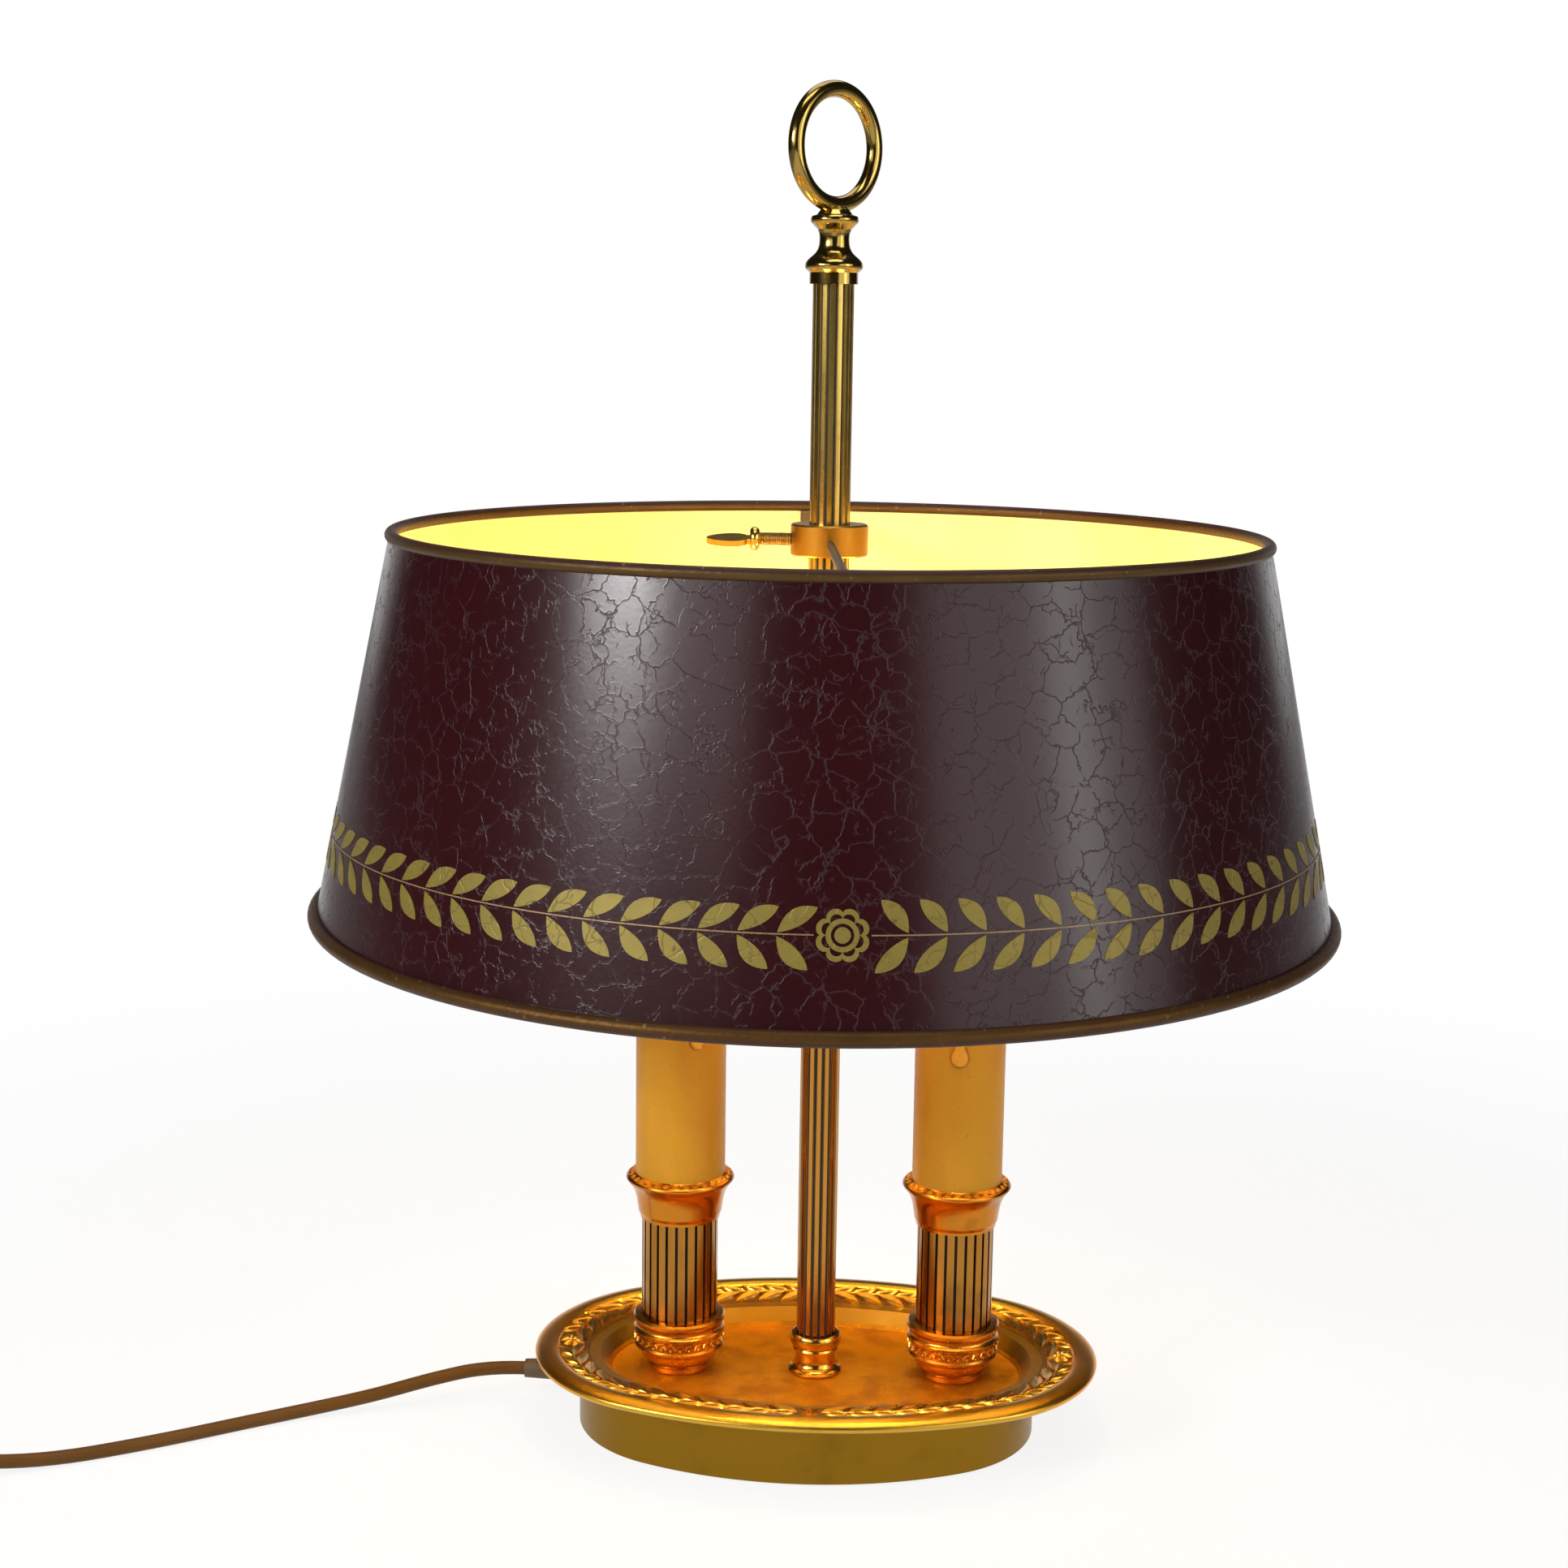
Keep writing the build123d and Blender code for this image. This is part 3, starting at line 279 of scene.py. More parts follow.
def brassFinish(name, color, roughness, grime=brass["grime"], spread=brass["spread"]):
    shader = Shader(name)
    cloud = shader.noise(brass["cloud"], 4)
    fine = shader.noise(brass["grain"], 2)
    tone = shader.mix(shader.between(0.52, 0.78, cloud) * brass["tarnish"], color, grime)
    rough = roughness + cloud * spread + fine * 0.05
    return shader, tone, rough, shader.bump(fine, brass["grainDepth"], 0.35)


def plainBrass(name, color, roughness, **others):
    shader, tone, rough, normal = brassFinish(name, color, roughness, **others)
    return shader.finish(tone, rough, 1.0, normal)


stem = {
    "offset": 0.0, "radius": 0.0065, "slot": 0.0006,
    "amberGlowBelow": (0.165, 0.185),  # browner below this: painted amber glow of the bulbs' light under the shade
    "amberGlowBelowColor": (0.49, 0.23, 0.040),
}
columns = {"offset": 0.0464, "radius": 0.01275, "slot": 0.0011}
slotShade = (0.012, 0.006, 0.003)
brassStreak = (0.24, 0.09, 0.02)


def slottedBrass(name, color, roughness, sizes):  # the slots are painted dark and dull as shade
    shader, tone, rough, normal = brassFinish(name, color, roughness)
    mix, between = shader.mix, shader.between
    # painted amber glow: the stem browner below the shade's rim
    if "amberGlowBelow" in sizes:
        tone = mix(between(*sizes["amberGlowBelow"], shader.z), sizes["amberGlowBelowColor"], tone)
    radius, depth = sizes["radius"], sizes["slot"]
    slot = 1 - between(radius - depth, radius - 0.25 * depth, shader.radius(sizes["offset"]))
    streak = shader.noise(0.004, 3, shader.stretched(1, 1, 0.12))
    tone = mix(between(0.45, 0.75, streak) * 0.35, tone, brassStreak)
    # painted shade in the slots
    tone = mix(slot, tone, slotShade)
    return shader.finish(tone, rough + slot * 0.4, 1.0 - slot * 0.9, normal)


tray = {
    "endCentre": 39.0, "endRadius": 56.0, "sideCentre": 91.06, "sideRadius": 155.06, "halfAngle": 66.81,
    "bandOuter": 8.2, "bandInner": 18.3, "rimInner": 8.3,  # insets from the tray's outline
    "groundEdge": (8.0, 8.6), "floorEdge": 22.0,
    "bandLow": 24.5, "bandHigh": 26.1, "groundLow": 23.5, "floorTop": 19.5,  # heights
    "pathStep": 1.5,
}
trayColors = {
    "rim": (0.58, 0.345, 0.040), "ledge": (0.50, 0.24, 0.03), "ground": (0.19, 0.07, 0.010),
    "floor": ((0.70, 0.30, 0.010), (0.48, 0.18, 0.008)),
    "rimEndReflection": (0.90, 0.36, 0.03), "rimEndReflectionFrom": (0.055, 0.092),  # painted warm reflection at both ends, from the middle outwards
    # painted light on the floor's left end
    "floorLeftLight": (0.90, 0.37, 0.010), "floorLeftLightFrom": (0.035, 0.075),
    "roughness": 0.22, "relief": 0.0005,
}


def trayInset(shader, sizes):  # plan distance in from the tray's outline, in metres
    across, along = abs(shader.y), abs(shader.x)
    past = along - sizes["endCentre"] * mm
    end = sizes["endRadius"] * mm - shader.math("SQRT", past ** 2 + across ** 2)
    away = across + sizes["sideCentre"] * mm
    side = sizes["sideRadius"] * mm - shader.math("SQRT", along ** 2 + away ** 2)
    return side + (across < past * tan(radians(sizes["halfAngle"]))) * (end - side)


def trayFinish(sizes, colors):  # smooth rim, darker ground behind the laurel, grained floor
    shader, tone, rough, normal = brassFinish("trayBrass", colors["rim"], colors["roughness"])
    mix, between, noise = shader.mix, shader.between, shader.noise
    inset = trayInset(shader, sizes)
    floorTop, bandInner = sizes["floorTop"] * mm, sizes["bandInner"] * mm
    floor = (shader.z < floorTop) * (inset > sizes["floorEdge"] * mm)
    ledge = (shader.z > floorTop) * (inset > bandInner)
    groundFrom, groundTo = [edge * mm for edge in sizes["groundEdge"]]
    ground = (shader.z > sizes["groundLow"] * mm) * between(groundFrom, groundTo, inset)
    ground = ground * (inset < bandInner)
    grain = noise(0.0011, 3)
    blot = noise(0.011, 4)
    floorTone = mix(between(0.35, 0.7, blot), *colors["floor"])
    # painted light: brighter orange towards the floor's left end
    floorLeftLight = between(*colors["floorLeftLightFrom"], 0 - shader.x)
    floorTone = mix(floorLeftLight * 0.8, floorTone, colors["floorLeftLight"])
    rimEndReflection = between(*colors["rimEndReflectionFrom"], abs(shader.x)) * (inset < sizes["rimInner"] * mm)
    tone = mix(rimEndReflection * 0.8, tone, colors["rimEndReflection"])  # painted warm reflection: redder towards both ends
    tone = mix(ledge * 0.6, tone, colors["ledge"])
    tone = mix(ground * 0.8, tone, colors["ground"])
    tone = mix(floor, tone, floorTone)
    rough = rough + floor * 0.3 + ground * 0.2 + ledge * 0.1
    height = grain * floor + noise(0.0015, 2) * (ground * 0.8 + ledge * 0.3)
    return shader.finish(tone, rough, 1.0, shader.bump(height, colors["relief"], 0.7, normal))


shade = {"bottom": 0.181, "bottomRadius": 0.1635, "lean": 0.20366, "top": 0.3013}
enamel = {
    "paint": ((0.019, 0.0017, 0.0030), (0.028, 0.0030, 0.0046)),
    "inside": ((0.88, 0.80, 0.40), (0.82, 0.70, 0.30)),
    "lipGlintColor": (0.11, 0.045, 0.050), "crackShadeColor": (0.006, 0.002, 0.002),
    "wideCell": 0.0082, "narrowCell": 0.0047,
    "groove": 0.022, "hair": 0.034,  # widths as shares of a cell
    "lip": (0.010, 0.03, 0.060), "hairLip": (0.015, 0.05, 0.09),
    "relief": 0.00022, "roughness": 0.21, "insideRoughness": 0.5, "specular": 0.38,
}


def enamelFinish(sizes):  # crackled burgundy outside, cream inside
    shader = Shader("shadeEnamel")
    mix, between, noise = shader.mix, shader.between, shader.noise
    outside = shader.radius() > shade["bottomRadius"] - (shader.z - shade["bottom"]) * shade["lean"]
    wavy = shader.shaken(0.0016, 0.0020, shader.shaken(0.0060, 0.0050))
    wide, narrow = [shader.cellEdge(sizes[cell], wavy) for cell in ("wideCell", "narrowCell")]
    kept = 0.10 + between(0.38, 0.50, noise(0.009, 2)) * 0.90  # some cracks fade out
    broken = between(0.54, 0.62, noise(0.0075, 3))  # short cracks between the long ones
    groove = (1 - between(0.0, sizes["groove"], wide)) * kept
    hair = (1 - between(0.0, sizes["hair"], narrow)) * broken
    crack = shader.math("MAXIMUM", groove, hair * 0.8)
    lip = shader.ridge(*sizes["lip"], wide) * kept
    hairLip = shader.ridge(*sizes["hairLip"], narrow) * broken
    raised = shader.math("MAXIMUM", lip, hairLip * 0.7)
    cloud = noise(0.03, 4)
    paint = mix(cloud, *sizes["paint"])
    # painted highlight: the crack lips a little lighter
    paint = mix(raised * 0.05, paint, sizes["lipGlintColor"])
    # painted shade: darker in the cracks
    paint = mix(crack * 0.3, paint, sizes["crackShadeColor"])
    tone = mix(outside, mix(cloud, *sizes["inside"]), paint)
    leather = noise(0.0012, 3)
    height = leather * 0.15 + raised * 0.07 - crack * 0.40
    normal = shader.bump(height * outside, sizes["relief"], 0.5)
    rough = sizes["roughness"] + leather * 0.06 + crack * 0.24
    rough = rough * outside + sizes["insideRoughness"] * (1 - outside)
    return shader.finish(tone, rough, 0.0, normal, sizes["specular"])


giltWear = (0.06, 0.03, 0.012)
giltCell = 0.0078
rimBrownAndShade = (0.040, 0.015, 0.007)
rimChip = (0.24, 0.17, 0.07)


def giltPaint(name, color, worn):
    shader = Shader(name)
    speck = shader.noise(0.0018, 4)
    wear = shader.between(worn, worn + 0.14, speck)
    crack = 1 - shader.between(0.0, 0.035, shader.cellEdge(giltCell, shader.shaken(0.006, 0.0045)))
    tone = shader.mix(shader.noise(0.006, 3), color, [part * 0.72 for part in color])
    tone = shader.mix(wear * 0.7 + crack * 0.25, tone, giltWear)
    normal = shader.bump(1 - crack + speck * 0.4, 0.0002, 0.5)
    return shader.finish(tone, 0.42 + speck * 0.15, 0.35, normal)


def wornGiltWithPaintedShade(name, middle, reach, edges, bright, dull):  # painted light and shade on worn gilt: dull gold on the bead's lit side, placed by height, dark brown on its shaded side
    shader = Shader(name)
    mix, between = shader.mix, shader.between
    cloud = shader.noise(0.012, 5)
    fine = shader.noise(0.0016, 4)
    level = (shader.z - middle) / reach + (fine - 0.5) * 0.5
    # painted light: gold only on the lit side of the bead, by height
    gold = between(edges[0], edges[1], level) * (1 - between(edges[2], edges[3], level))
    tone = mix(gold, rimBrownAndShade, mix(cloud, bright, dull))
    tone = mix(between(0.66, 0.71, fine) * 0.5, tone, rimChip)
    return shader.finish(tone, 0.38 + fine * 0.2, gold * 0.6, shader.bump(fine, 0.0003, 0.5), 0.2)


candle = {
    # the second wax tone is the painted glow near the bulbs
    "wax": ((0.45, 0.230, 0.016), (0.57, 0.215, 0.004)),
    "paintedGlowFrom": (0.128, 0.160),  # painted glow of the bulb light: deeper orange towards the flame
    "cloud": (0.36, 0.155, 0.012), "speck": (0.25, 0.11, 0.015), "specular": 0.15,
    "outline": (0.26, 0.055, 0.003), "drop": (0.60, 0.29, 0.030),
    "dropShadowInner": (0.01506, 0.01525), "dropShadowOuter": (0.0156, 0.0160),  # painted shadow round each wax drop, from the candle's middle
    "dropFrom": (0.0157, 0.0162),
}


def candleFinish(sizes):
    shader = Shader("candleWax")
    mix, between, noise = shader.mix, shader.between, shader.noise
    cloud = noise(0.02, 4, shader.stretched(1, 1, 0.4))
    fine = noise(0.0016, 3)
    paintedGlow = between(*sizes["paintedGlowFrom"], shader.z + (cloud - 0.5) * 0.02)
    tone = mix(paintedGlow, *sizes["wax"])
    tone = mix(between(0.42, 0.62, cloud) * 0.45, tone, sizes["cloud"])
    specks = between(0.70, 0.76, noise(0.0011, 1))
    tone = mix(specks * 0.4, tone, sizes["speck"])
    out = shader.radius(columns["offset"])
    # painted shadow: a dark ring where each wax drop meets the candle
    outline = between(*sizes["dropShadowInner"], out)
    outline = outline * (1 - between(*sizes["dropShadowOuter"], out))
    tone = mix(outline * 0.75, tone, sizes["outline"])
    tone = mix(between(*sizes["dropFrom"], out), tone, sizes["drop"])
    normal = shader.bump(fine, 0.00012, 0.3)
    return shader.finish(tone, 0.36 + fine * 0.1, 0.0, normal, sizes["specular"])


def plasticFinish(name, color, roughness, dull=None, grain=0.0009, cloud=0.01, spread=0.1, depth=0.00005,
                  specular=0.5):
    shader = Shader(name)
    fine = shader.noise(grain, 2)
    tone = shader.mix(shader.noise(cloud, 3), color, dull or [part * 0.8 for part in color])
    return shader.finish(tone, roughness + fine * spread, 0.0, shader.bump(fine, depth, 0.4), specular)


def feltFinish():
    shader = Shader("greenFelt")
    fibre = shader.noise(0.0008, 4, shader.stretched(1, 0.3, 1))
    tone = shader.mix(fibre, (0.02, 0.07, 0.035), (0.05, 0.13, 0.07))
    return shader.finish(tone, 0.95, 0.0, shader.bump(fibre, 0.0003, 0.8))


def metalFinish(name, color, roughness, thread=0.0):  # thread: its pitch
    shader = Shader(name)
    fine = shader.noise(0.0012, 3)
    tone = shader.mix(shader.noise(0.008, 3), color, [part * 0.7 for part in color])
    height = fine * 0.2
    if thread:
        height = height + shader.math("SINE", shader.z * (2 * pi / thread)) * 0.5
    return shader.finish(tone, roughness + fine * 0.12, 1.0, shader.bump(height, 0.0003, 0.6))


thumbscrew = {
    "color": (0.72, 0.47, 0.11), "roughness": 0.14,
    "shank": (-0.0222, -0.0220),  # the thread begins here
    "shankColor": (0.30, 0.16, 0.04), "pitch": 0.0007,
}


def threadedScrewFinish(sizes):  # polished brass, with a thread on the shank only
    shader, tone, rough, normal = brassFinish("thumbscrewBrass", sizes["color"], sizes["roughness"])
    shank = shader.between(*sizes["shank"], shader.x)
    thread = shader.math("SINE", shader.x * (2 * pi / sizes["pitch"])) * shank
    tone = shader.mix(shank * 0.5, tone, sizes["shankColor"])
    return shader.finish(tone, rough + shank * 0.15, 1.0, shader.bump(thread, 0.0003, 0.8, normal))


bulb = {"glass": (0.95, 0.9, 0.8), "glow": ((1.0, 0.68, 0.20), (1.0, 0.60, 0.15)), "strength": 5.0}


def bulbFinish(sizes):
    shader = Shader("frostedBulb")
    glow = shader.mix(shader.noise(0.012, 2), *sizes["glow"])
    return shader.close(shader.node("ShaderNodeBsdfPrincipled", sockets={
        "Base Color": (*sizes["glass"], 1), "Roughness": 0.3, "Emission Color": glow,
        "Emission Strength": sizes["strength"]}))


rims = {  # height, wire, where the painted lit gold starts and ends, its bright and dull tone
    "bottom": (shade["bottom"], 0.0023, (-0.45, 0.0, 0.75, 1.0),
               (0.105, 0.050, 0.011), (0.055, 0.023, 0.005)),
    "top": (shade["top"], 0.0019, (-0.9, -0.5, 0.1, 0.5),
            (0.11, 0.062, 0.018), (0.065, 0.034, 0.010)),
}
finishes = {
    "tray_brass": trayFinish(tray, trayColors),
    "skirt_brass": plainBrass("skirtBrass", (0.25, 0.13, 0.010), 0.30,
                              spread=0.06, grime=(0.16, 0.08, 0.008)),
    "stem_brass": slottedBrass("stemBrass", (0.56, 0.39, 0.090), 0.14, stem),
    "foot_brass": plainBrass("stemFootBrass", (0.64, 0.33, 0.045), 0.12),
    "column_brass": slottedBrass("columnBrass", (0.40, 0.180, 0.030), 0.15, columns),
    "laurel_brass": plainBrass("laurelBrass", (0.76, 0.40, 0.05), 0.20),
    "ornament_brass": plainBrass("ornamentBrass", (0.66, 0.30, 0.035), 0.22),
    "column_foot": plainBrass("columnFootBrass", (0.66, 0.27, 0.026), 0.18),
    "cup_brass": plainBrass("cupBrass", (0.53, 0.195, 0.018), 0.14),
    "finial_brass": plainBrass("finialBrass", (0.36, 0.240, 0.060), 0.07),
    "collar_brass": plainBrass("collarBrass", (0.38, 0.190, 0.028), 0.28),
    "screw_brass": threadedScrewFinish(thumbscrew),
    "contact_brass": plainBrass("contactBrass", (0.70, 0.52, 0.20), 0.35),
    "arm_steel": plasticFinish("armBronze", (0.055, 0.026, 0.011), 0.38),
    "plated_steel": metalFinish("platedSteel", (0.50, 0.50, 0.48), 0.35),
    "threaded_steel": metalFinish("threadedSteel", (0.42, 0.40, 0.37), 0.38, thread=0.001),
    "cast_weight": metalFinish("castWeight", (0.10, 0.10, 0.11), 0.7),
    "cap_metal": metalFinish("bulbCapMetal", (0.66, 0.63, 0.56), 0.3, thread=0.0028),
    "pin_metal": metalFinish("plugPinMetal", (0.62, 0.58, 0.46), 0.25),
    "felt": feltFinish(),
    "shade_paint": enamelFinish(enamel),
    "rim_gilt": wornGiltWithPaintedShade("bottomRimGilt", *rims["bottom"]),
    "top_rim": wornGiltWithPaintedShade("topRimGilt", *rims["top"]),
    "stencil_gilt": giltPaint("stencilGilt", (0.25, 0.185, 0.028), 0.60),
    "stencil_line": giltPaint("stencilLine", (0.32, 0.20, 0.09), 0.66),
    "candle_plastic": candleFinish(candle),
    "holder_plastic": plasticFinish("holderPlastic", (0.84, 0.82, 0.75), 0.35),
    "terminal_plastic": plasticFinish("terminalPlastic", (0.80, 0.78, 0.70), 0.45),
    "wire_pvc": plasticFinish("wireSleeve", (0.70, 0.66, 0.58), 0.45),
    "dark_plastic": plasticFinish("bushingPlastic", (0.10, 0.06, 0.025), 0.45),
    "switch_plastic": plasticFinish("switchPlastic", (0.10, 0.055, 0.022), 0.28),
    "rocker_plastic": plasticFinish("rockerPlastic", (0.05, 0.028, 0.012), 0.24),
    "plug_plastic": plasticFinish("plugPlastic", (0.10, 0.055, 0.022), 0.38),
    "cord_pvc": plasticFinish("cordSleeve", (0.130, 0.056, 0.008), 0.34, (0.085, 0.036, 0.005), grain=0.0012,
                              cloud=0.02, spread=0.12, depth=0.00008, specular=0.18),
    "bulb_glass": bulbFinish(bulb),
}
nodeFinishes = {
    "stem_foot": "foot_brass", "column_foot_left": "column_foot", "column_foot_right": "column_foot",
    "shade_rim_top": "top_rim"}


def dress(piece, finish):
    piece.data.materials.clear()
    piece.data.materials.append(finishes[finish])


slotOf = {part["node"]: part["material_slot"] for part in frame["record"]["subparts"]}
for name, node in nodes.items():
    finish = finishes[nodeFinishes.get(name, slotOf[name])]
    for slot in node.material_slots:
        slot.material = finish
dress(cord, "cord_pvc")
print("finishes assigned")


class Pattern(NodeTree):  # a Geometry Nodes tree for repeated ornament, its inputs listed by kind
    def __init__(self, name, **inputs):
        self.tree = bpy.data.node_groups.new(name, "GeometryNodeTree")
        self.keys = {}
        for kind, labels in {**inputs, "Material": "Material"}.items():
            for label in labels.split():
                made = self.tree.interface.new_socket(label, in_out="INPUT", socket_type="NodeSocket" + kind)
                self.keys[label] = made.identifier
        self.tree.interface.new_socket("Geometry", in_out="OUTPUT", socket_type="NodeSocketGeometry")
        self.start = self.tree.nodes.new("NodeGroupInput")

    def given(self, label):
        return Signal(self, self.start.outputs[label])

    def shape(self, label):
        return self.node("GeometryNodeObjectInfo", sockets={"Object": self.given(label)}, out="Geometry")

    def aligned(self, axis, vector, pivot="AUTO", **others):
        return self.node("FunctionNodeAlignRotationToVector", {"axis": axis, "pivot_axis": pivot},
                         {"Vector": vector, **others})

    def placed(self, points, **others):  # the piece on every point
        return self.node("GeometryNodeInstanceOnPoints", sockets={
            "Points": points, "Instance": self.shape("Piece"), **others})

    def join(self, *parts):
        made = self.tree.nodes.new("GeometryNodeJoinGeometry")
        for part in parts:
            self.tree.links.new(part.socket, made.inputs[0])
        return Signal(self, made.outputs[0])

    def close(self, geometry):
        real = self.node("GeometryNodeRealizeInstances", sockets={0: geometry})
        painted = self.node("GeometryNodeSetMaterial", sockets={
            "Geometry": real, "Material": self.given("Material")})
        end = self.tree.nodes.new("NodeGroupOutput")
        self.tree.links.new(painted.socket, end.inputs[0])


def makeWrapPattern():  # x along the band, y up the slope, z off the surface
    tree = Pattern("wrapOnCone", Object="Piece", Int="Count",
                      Float="First Pitch Start Turn Growth Radius Height Slope")
    given = tree.given
    line = tree.node("GeometryNodeMeshLine", sockets={
        "Count": given("Count"), "Start Location": tree.xyz(X=given("First")),
        "Offset": tree.xyz(X=given("Pitch"))})
    flat = tree.node("GeometryNodeRealizeInstances", sockets={0: tree.placed(line)})
    x, y, z = tree.split(tree.node("GeometryNodeInputPosition"))
    around = x + x * abs(x) * given("Growth")  # the sprigs grow longer away from the rosette
    angle = given("Start") + around * given("Turn") / given("Radius")
    lean, rise = tree.math("SINE", given("Slope")), tree.math("COSINE", given("Slope"))
    radius = given("Radius") - y * lean + z * rise
    place = tree.xyz(X=radius * tree.math("COSINE", angle), Y=radius * tree.math("SINE", angle),
                        Z=given("Height") + y * rise + z * lean)
    bent = tree.node("GeometryNodeSetPosition", sockets={"Geometry": flat, "Position": place})
    back = tree.node("GeometryNodeTransform", sockets={"Geometry": bent, "Rotation": (0, 0, pi)})
    tree.close(tree.join(bent, back))
    return tree


def makeGarlandPattern():  # pieces point along the path and lie on the sloping band
    tree = Pattern("layOnPath", Object="Path Piece", Float="Spacing Side Slope")
    given = tree.given
    even = tree.node("GeometryNodeResampleCurve", {"mode": "LENGTH"}, {
        "Curve": tree.shape("Path"), "Length": given("Spacing")})
    tangent = tree.node("GeometryNodeInputTangent")
    outward = tree.vector("CROSS_PRODUCT", tangent, (0, 0, 1))
    amount = tree.math("SINE", given("Slope")) * given("Side") * -1.0
    leaning = tree.node("ShaderNodeVectorMath", {"operation": "SCALE"}, {0: outward, "Scale": amount})
    normal = tree.vector("ADD", leaning, tree.xyz(Z=tree.math("COSINE", given("Slope"))))
    tilted = tree.aligned("Z", normal, pivot="X", Rotation=tree.aligned("X", tangent))
    tree.close(tree.placed(even, Rotation=tilted, Scale=tree.xyz(X=1.0, Y=given("Side"), Z=1.0)))
    return tree


def makeStemPattern():  # a round wire along the path
    tree = Pattern("wireOnPath", Object="Path", Float="Radius")
    wire = tree.node("GeometryNodeCurvePrimitiveCircle", {"mode": "RADIUS"}, {
        "Resolution": 8, "Radius": tree.given("Radius")})
    tree.close(tree.node("GeometryNodeCurveToMesh", sockets={
        "Curve": tree.shape("Path"), "Profile Curve": wire, "Fill Caps": True}))
    return tree


def makeRingPattern():  # pieces stand round both columns: x along the ring, y up, z outwards
    tree = Pattern("ringRoundColumn", Object="Piece", Int="Count", Float="Radius Offset Height")
    given = tree.given
    ring = tree.node("GeometryNodeMeshCircle", sockets={
        "Vertices": given("Count"), "Radius": given("Radius")})
    outwards = tree.aligned("Z", tree.node("GeometryNodeInputPosition"))
    row = tree.placed(ring, Rotation=tree.aligned("Y", (0, 0, 1), pivot="Z", Rotation=outwards))
    sides = [tree.node("GeometryNodeTransform", sockets={
        "Geometry": row, "Translation": tree.xyz(X=given("Offset") * side, Z=given("Height"))})
        for side in (-1.0, 1.0)]
    tree.close(tree.join(*sides))
    return tree


def settle(piece, body, finish):  # outward faces, own finish, rides on its body
    piece.data.name = piece.name
    cleaned(piece.data)
    piece.data.shade_smooth()
    piece.data.set_sharp_from_angle(angle=radians(45))
    dress(piece, finish)
    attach(piece, body)


def grow(name, pattern, body, finish, **values):
    host = linked(name + "Host", bpy.data.meshes.new(name + "Host"))
    modifier = host.modifiers.new("pattern", "NODES")
    modifier.node_group = pattern.tree
    for label, value in values.items():
        modifier[pattern.keys[label]] = value
    modifier[pattern.keys["Material"]] = finishes[finish]
    graph = bpy.context.evaluated_depsgraph_get()
    mesh = bpy.data.meshes.new_from_object(host.evaluated_get(graph))
    host.modifiers.remove(modifier)
    bpy.data.objects.remove(host)
    settle(linked(name, mesh), body, finish)


def template(name, parts):  # one loose piece of several shapes, each with its points and faces
    points, faces = [], []
    for partPoints, partFaces in parts:
        faces += [tuple(index + len(points) for index in face) for face in partFaces]
        points += partPoints
    mesh = bpy.data.meshes.new(name)
    mesh.from_pydata(points, [], faces)
    cleaned(mesh, 1e-6)
    return linked(name, mesh)


def repeat(name, pattern, body, finish, parts, **values):  # a tree repeats the loose piece, which then goes
    piece = template(name + "Piece", parts)
    grow(name, pattern, body, finish, Piece=piece, **values)
    bpy.data.objects.remove(piece)


def leafPoints(leaf):  # one leaf: stations along it, a section across it, and an underside
    section = leaf["section"]
    stations = leaf.get("stations", 7)
    widths = [leaf["outline"](step / stations) for step in range(stations + 1)]
    angle = radians(leaf.get("angle", 0))
    points, faces = [], []

    def add(along, across, height):
        x = leaf["base"][0] + along * cos(angle) - across * sin(angle)
        y = leaf["base"][1] + along * sin(angle) + across * cos(angle)
        points.append((x * mm, y * mm, height * mm))
        return len(points) - 1

    tops, lows = [], []
    for step in range(stations + 1):
        along = leaf["length"] * step / stations
        half = max(widths[step], 0.02) * leaf["width"] / 2
        sag = leaf.get("bend", 0) * sin(pi * step / stations)
        swell = 1.0 if leaf.get("flat") else 0.35 + 0.65 * min(1.0, 2 * widths[step])
        tops.append([add(along, share * half + sag, height * swell) for share, height in section])
        lows.append([add(along, side * half + sag, leaf["sink"]) for side in (-1, 1)])
    for a, b, low, lowNext in zip(tops, tops[1:], lows, lows[1:]):
        faces += [(a[i], b[i], b[i + 1], a[i + 1]) for i in range(len(section) - 1)]
        faces += [(low[0], lowNext[0], b[0], a[0]), (a[-1], b[-1], lowNext[1], low[1]),
                  (low[1], lowNext[1], lowNext[0], low[0])]
    for row, low in ((tops[0], lows[0]), (tops[-1], lows[-1])):
        faces.append((low[0], *row, low[1]))
    return points, faces


def bluntLeaf(t):  # pointed at its base, round at its tip
    return 1.72 * t ** 0.8 * sqrt(max(0.0, 1 - t ** 2.4))


def almondLeaf(t):
    return sin(pi * t ** 1.08) ** 0.78 if 0 < t < 1 else 0.0


def pointedLeaf(t):
    return sin(pi * t ** 0.85) ** 0.85 if 0 < t < 1 else 0.0


def evenStrip(t):
    return 1.0


# stencilled band near the shade's lower edge
stencil = {
    "radius": 158.51, "height": 208.0, "slope": 11.51,  # paint's surface at the band's height
    "rosette": -86.3,  # degrees round the stem
    "first": 17.9, "pitch": 10.25, "joints": 20,
    "growth": 0.0008,  # share that a millimetre along the band adds
    "leafStart": 0.07, "leafReach": 0.95,  # shares of the way from the stem to a leaf's tip
    "leafWidth": 4.7, "leafBend": 0.7, "paint": 0.13, "sink": -0.12,
    "leavesLeft": ((11.0, 7.2), (8.6, -9.2)), "leavesRight": ((7.5, 9.3), (9.2, -9.8)),
    "line": 0.36, "lobes": 8,
    "rings": (  # steps round, and the inner and outer edge's least and greatest radius
        (32, (0.02, 0.02), (2.2, 2.2)), (64, (3.1, 3.1), (4.5, 4.5)), (96, (4.4, 5.9), (6.1, 7.4))),
}


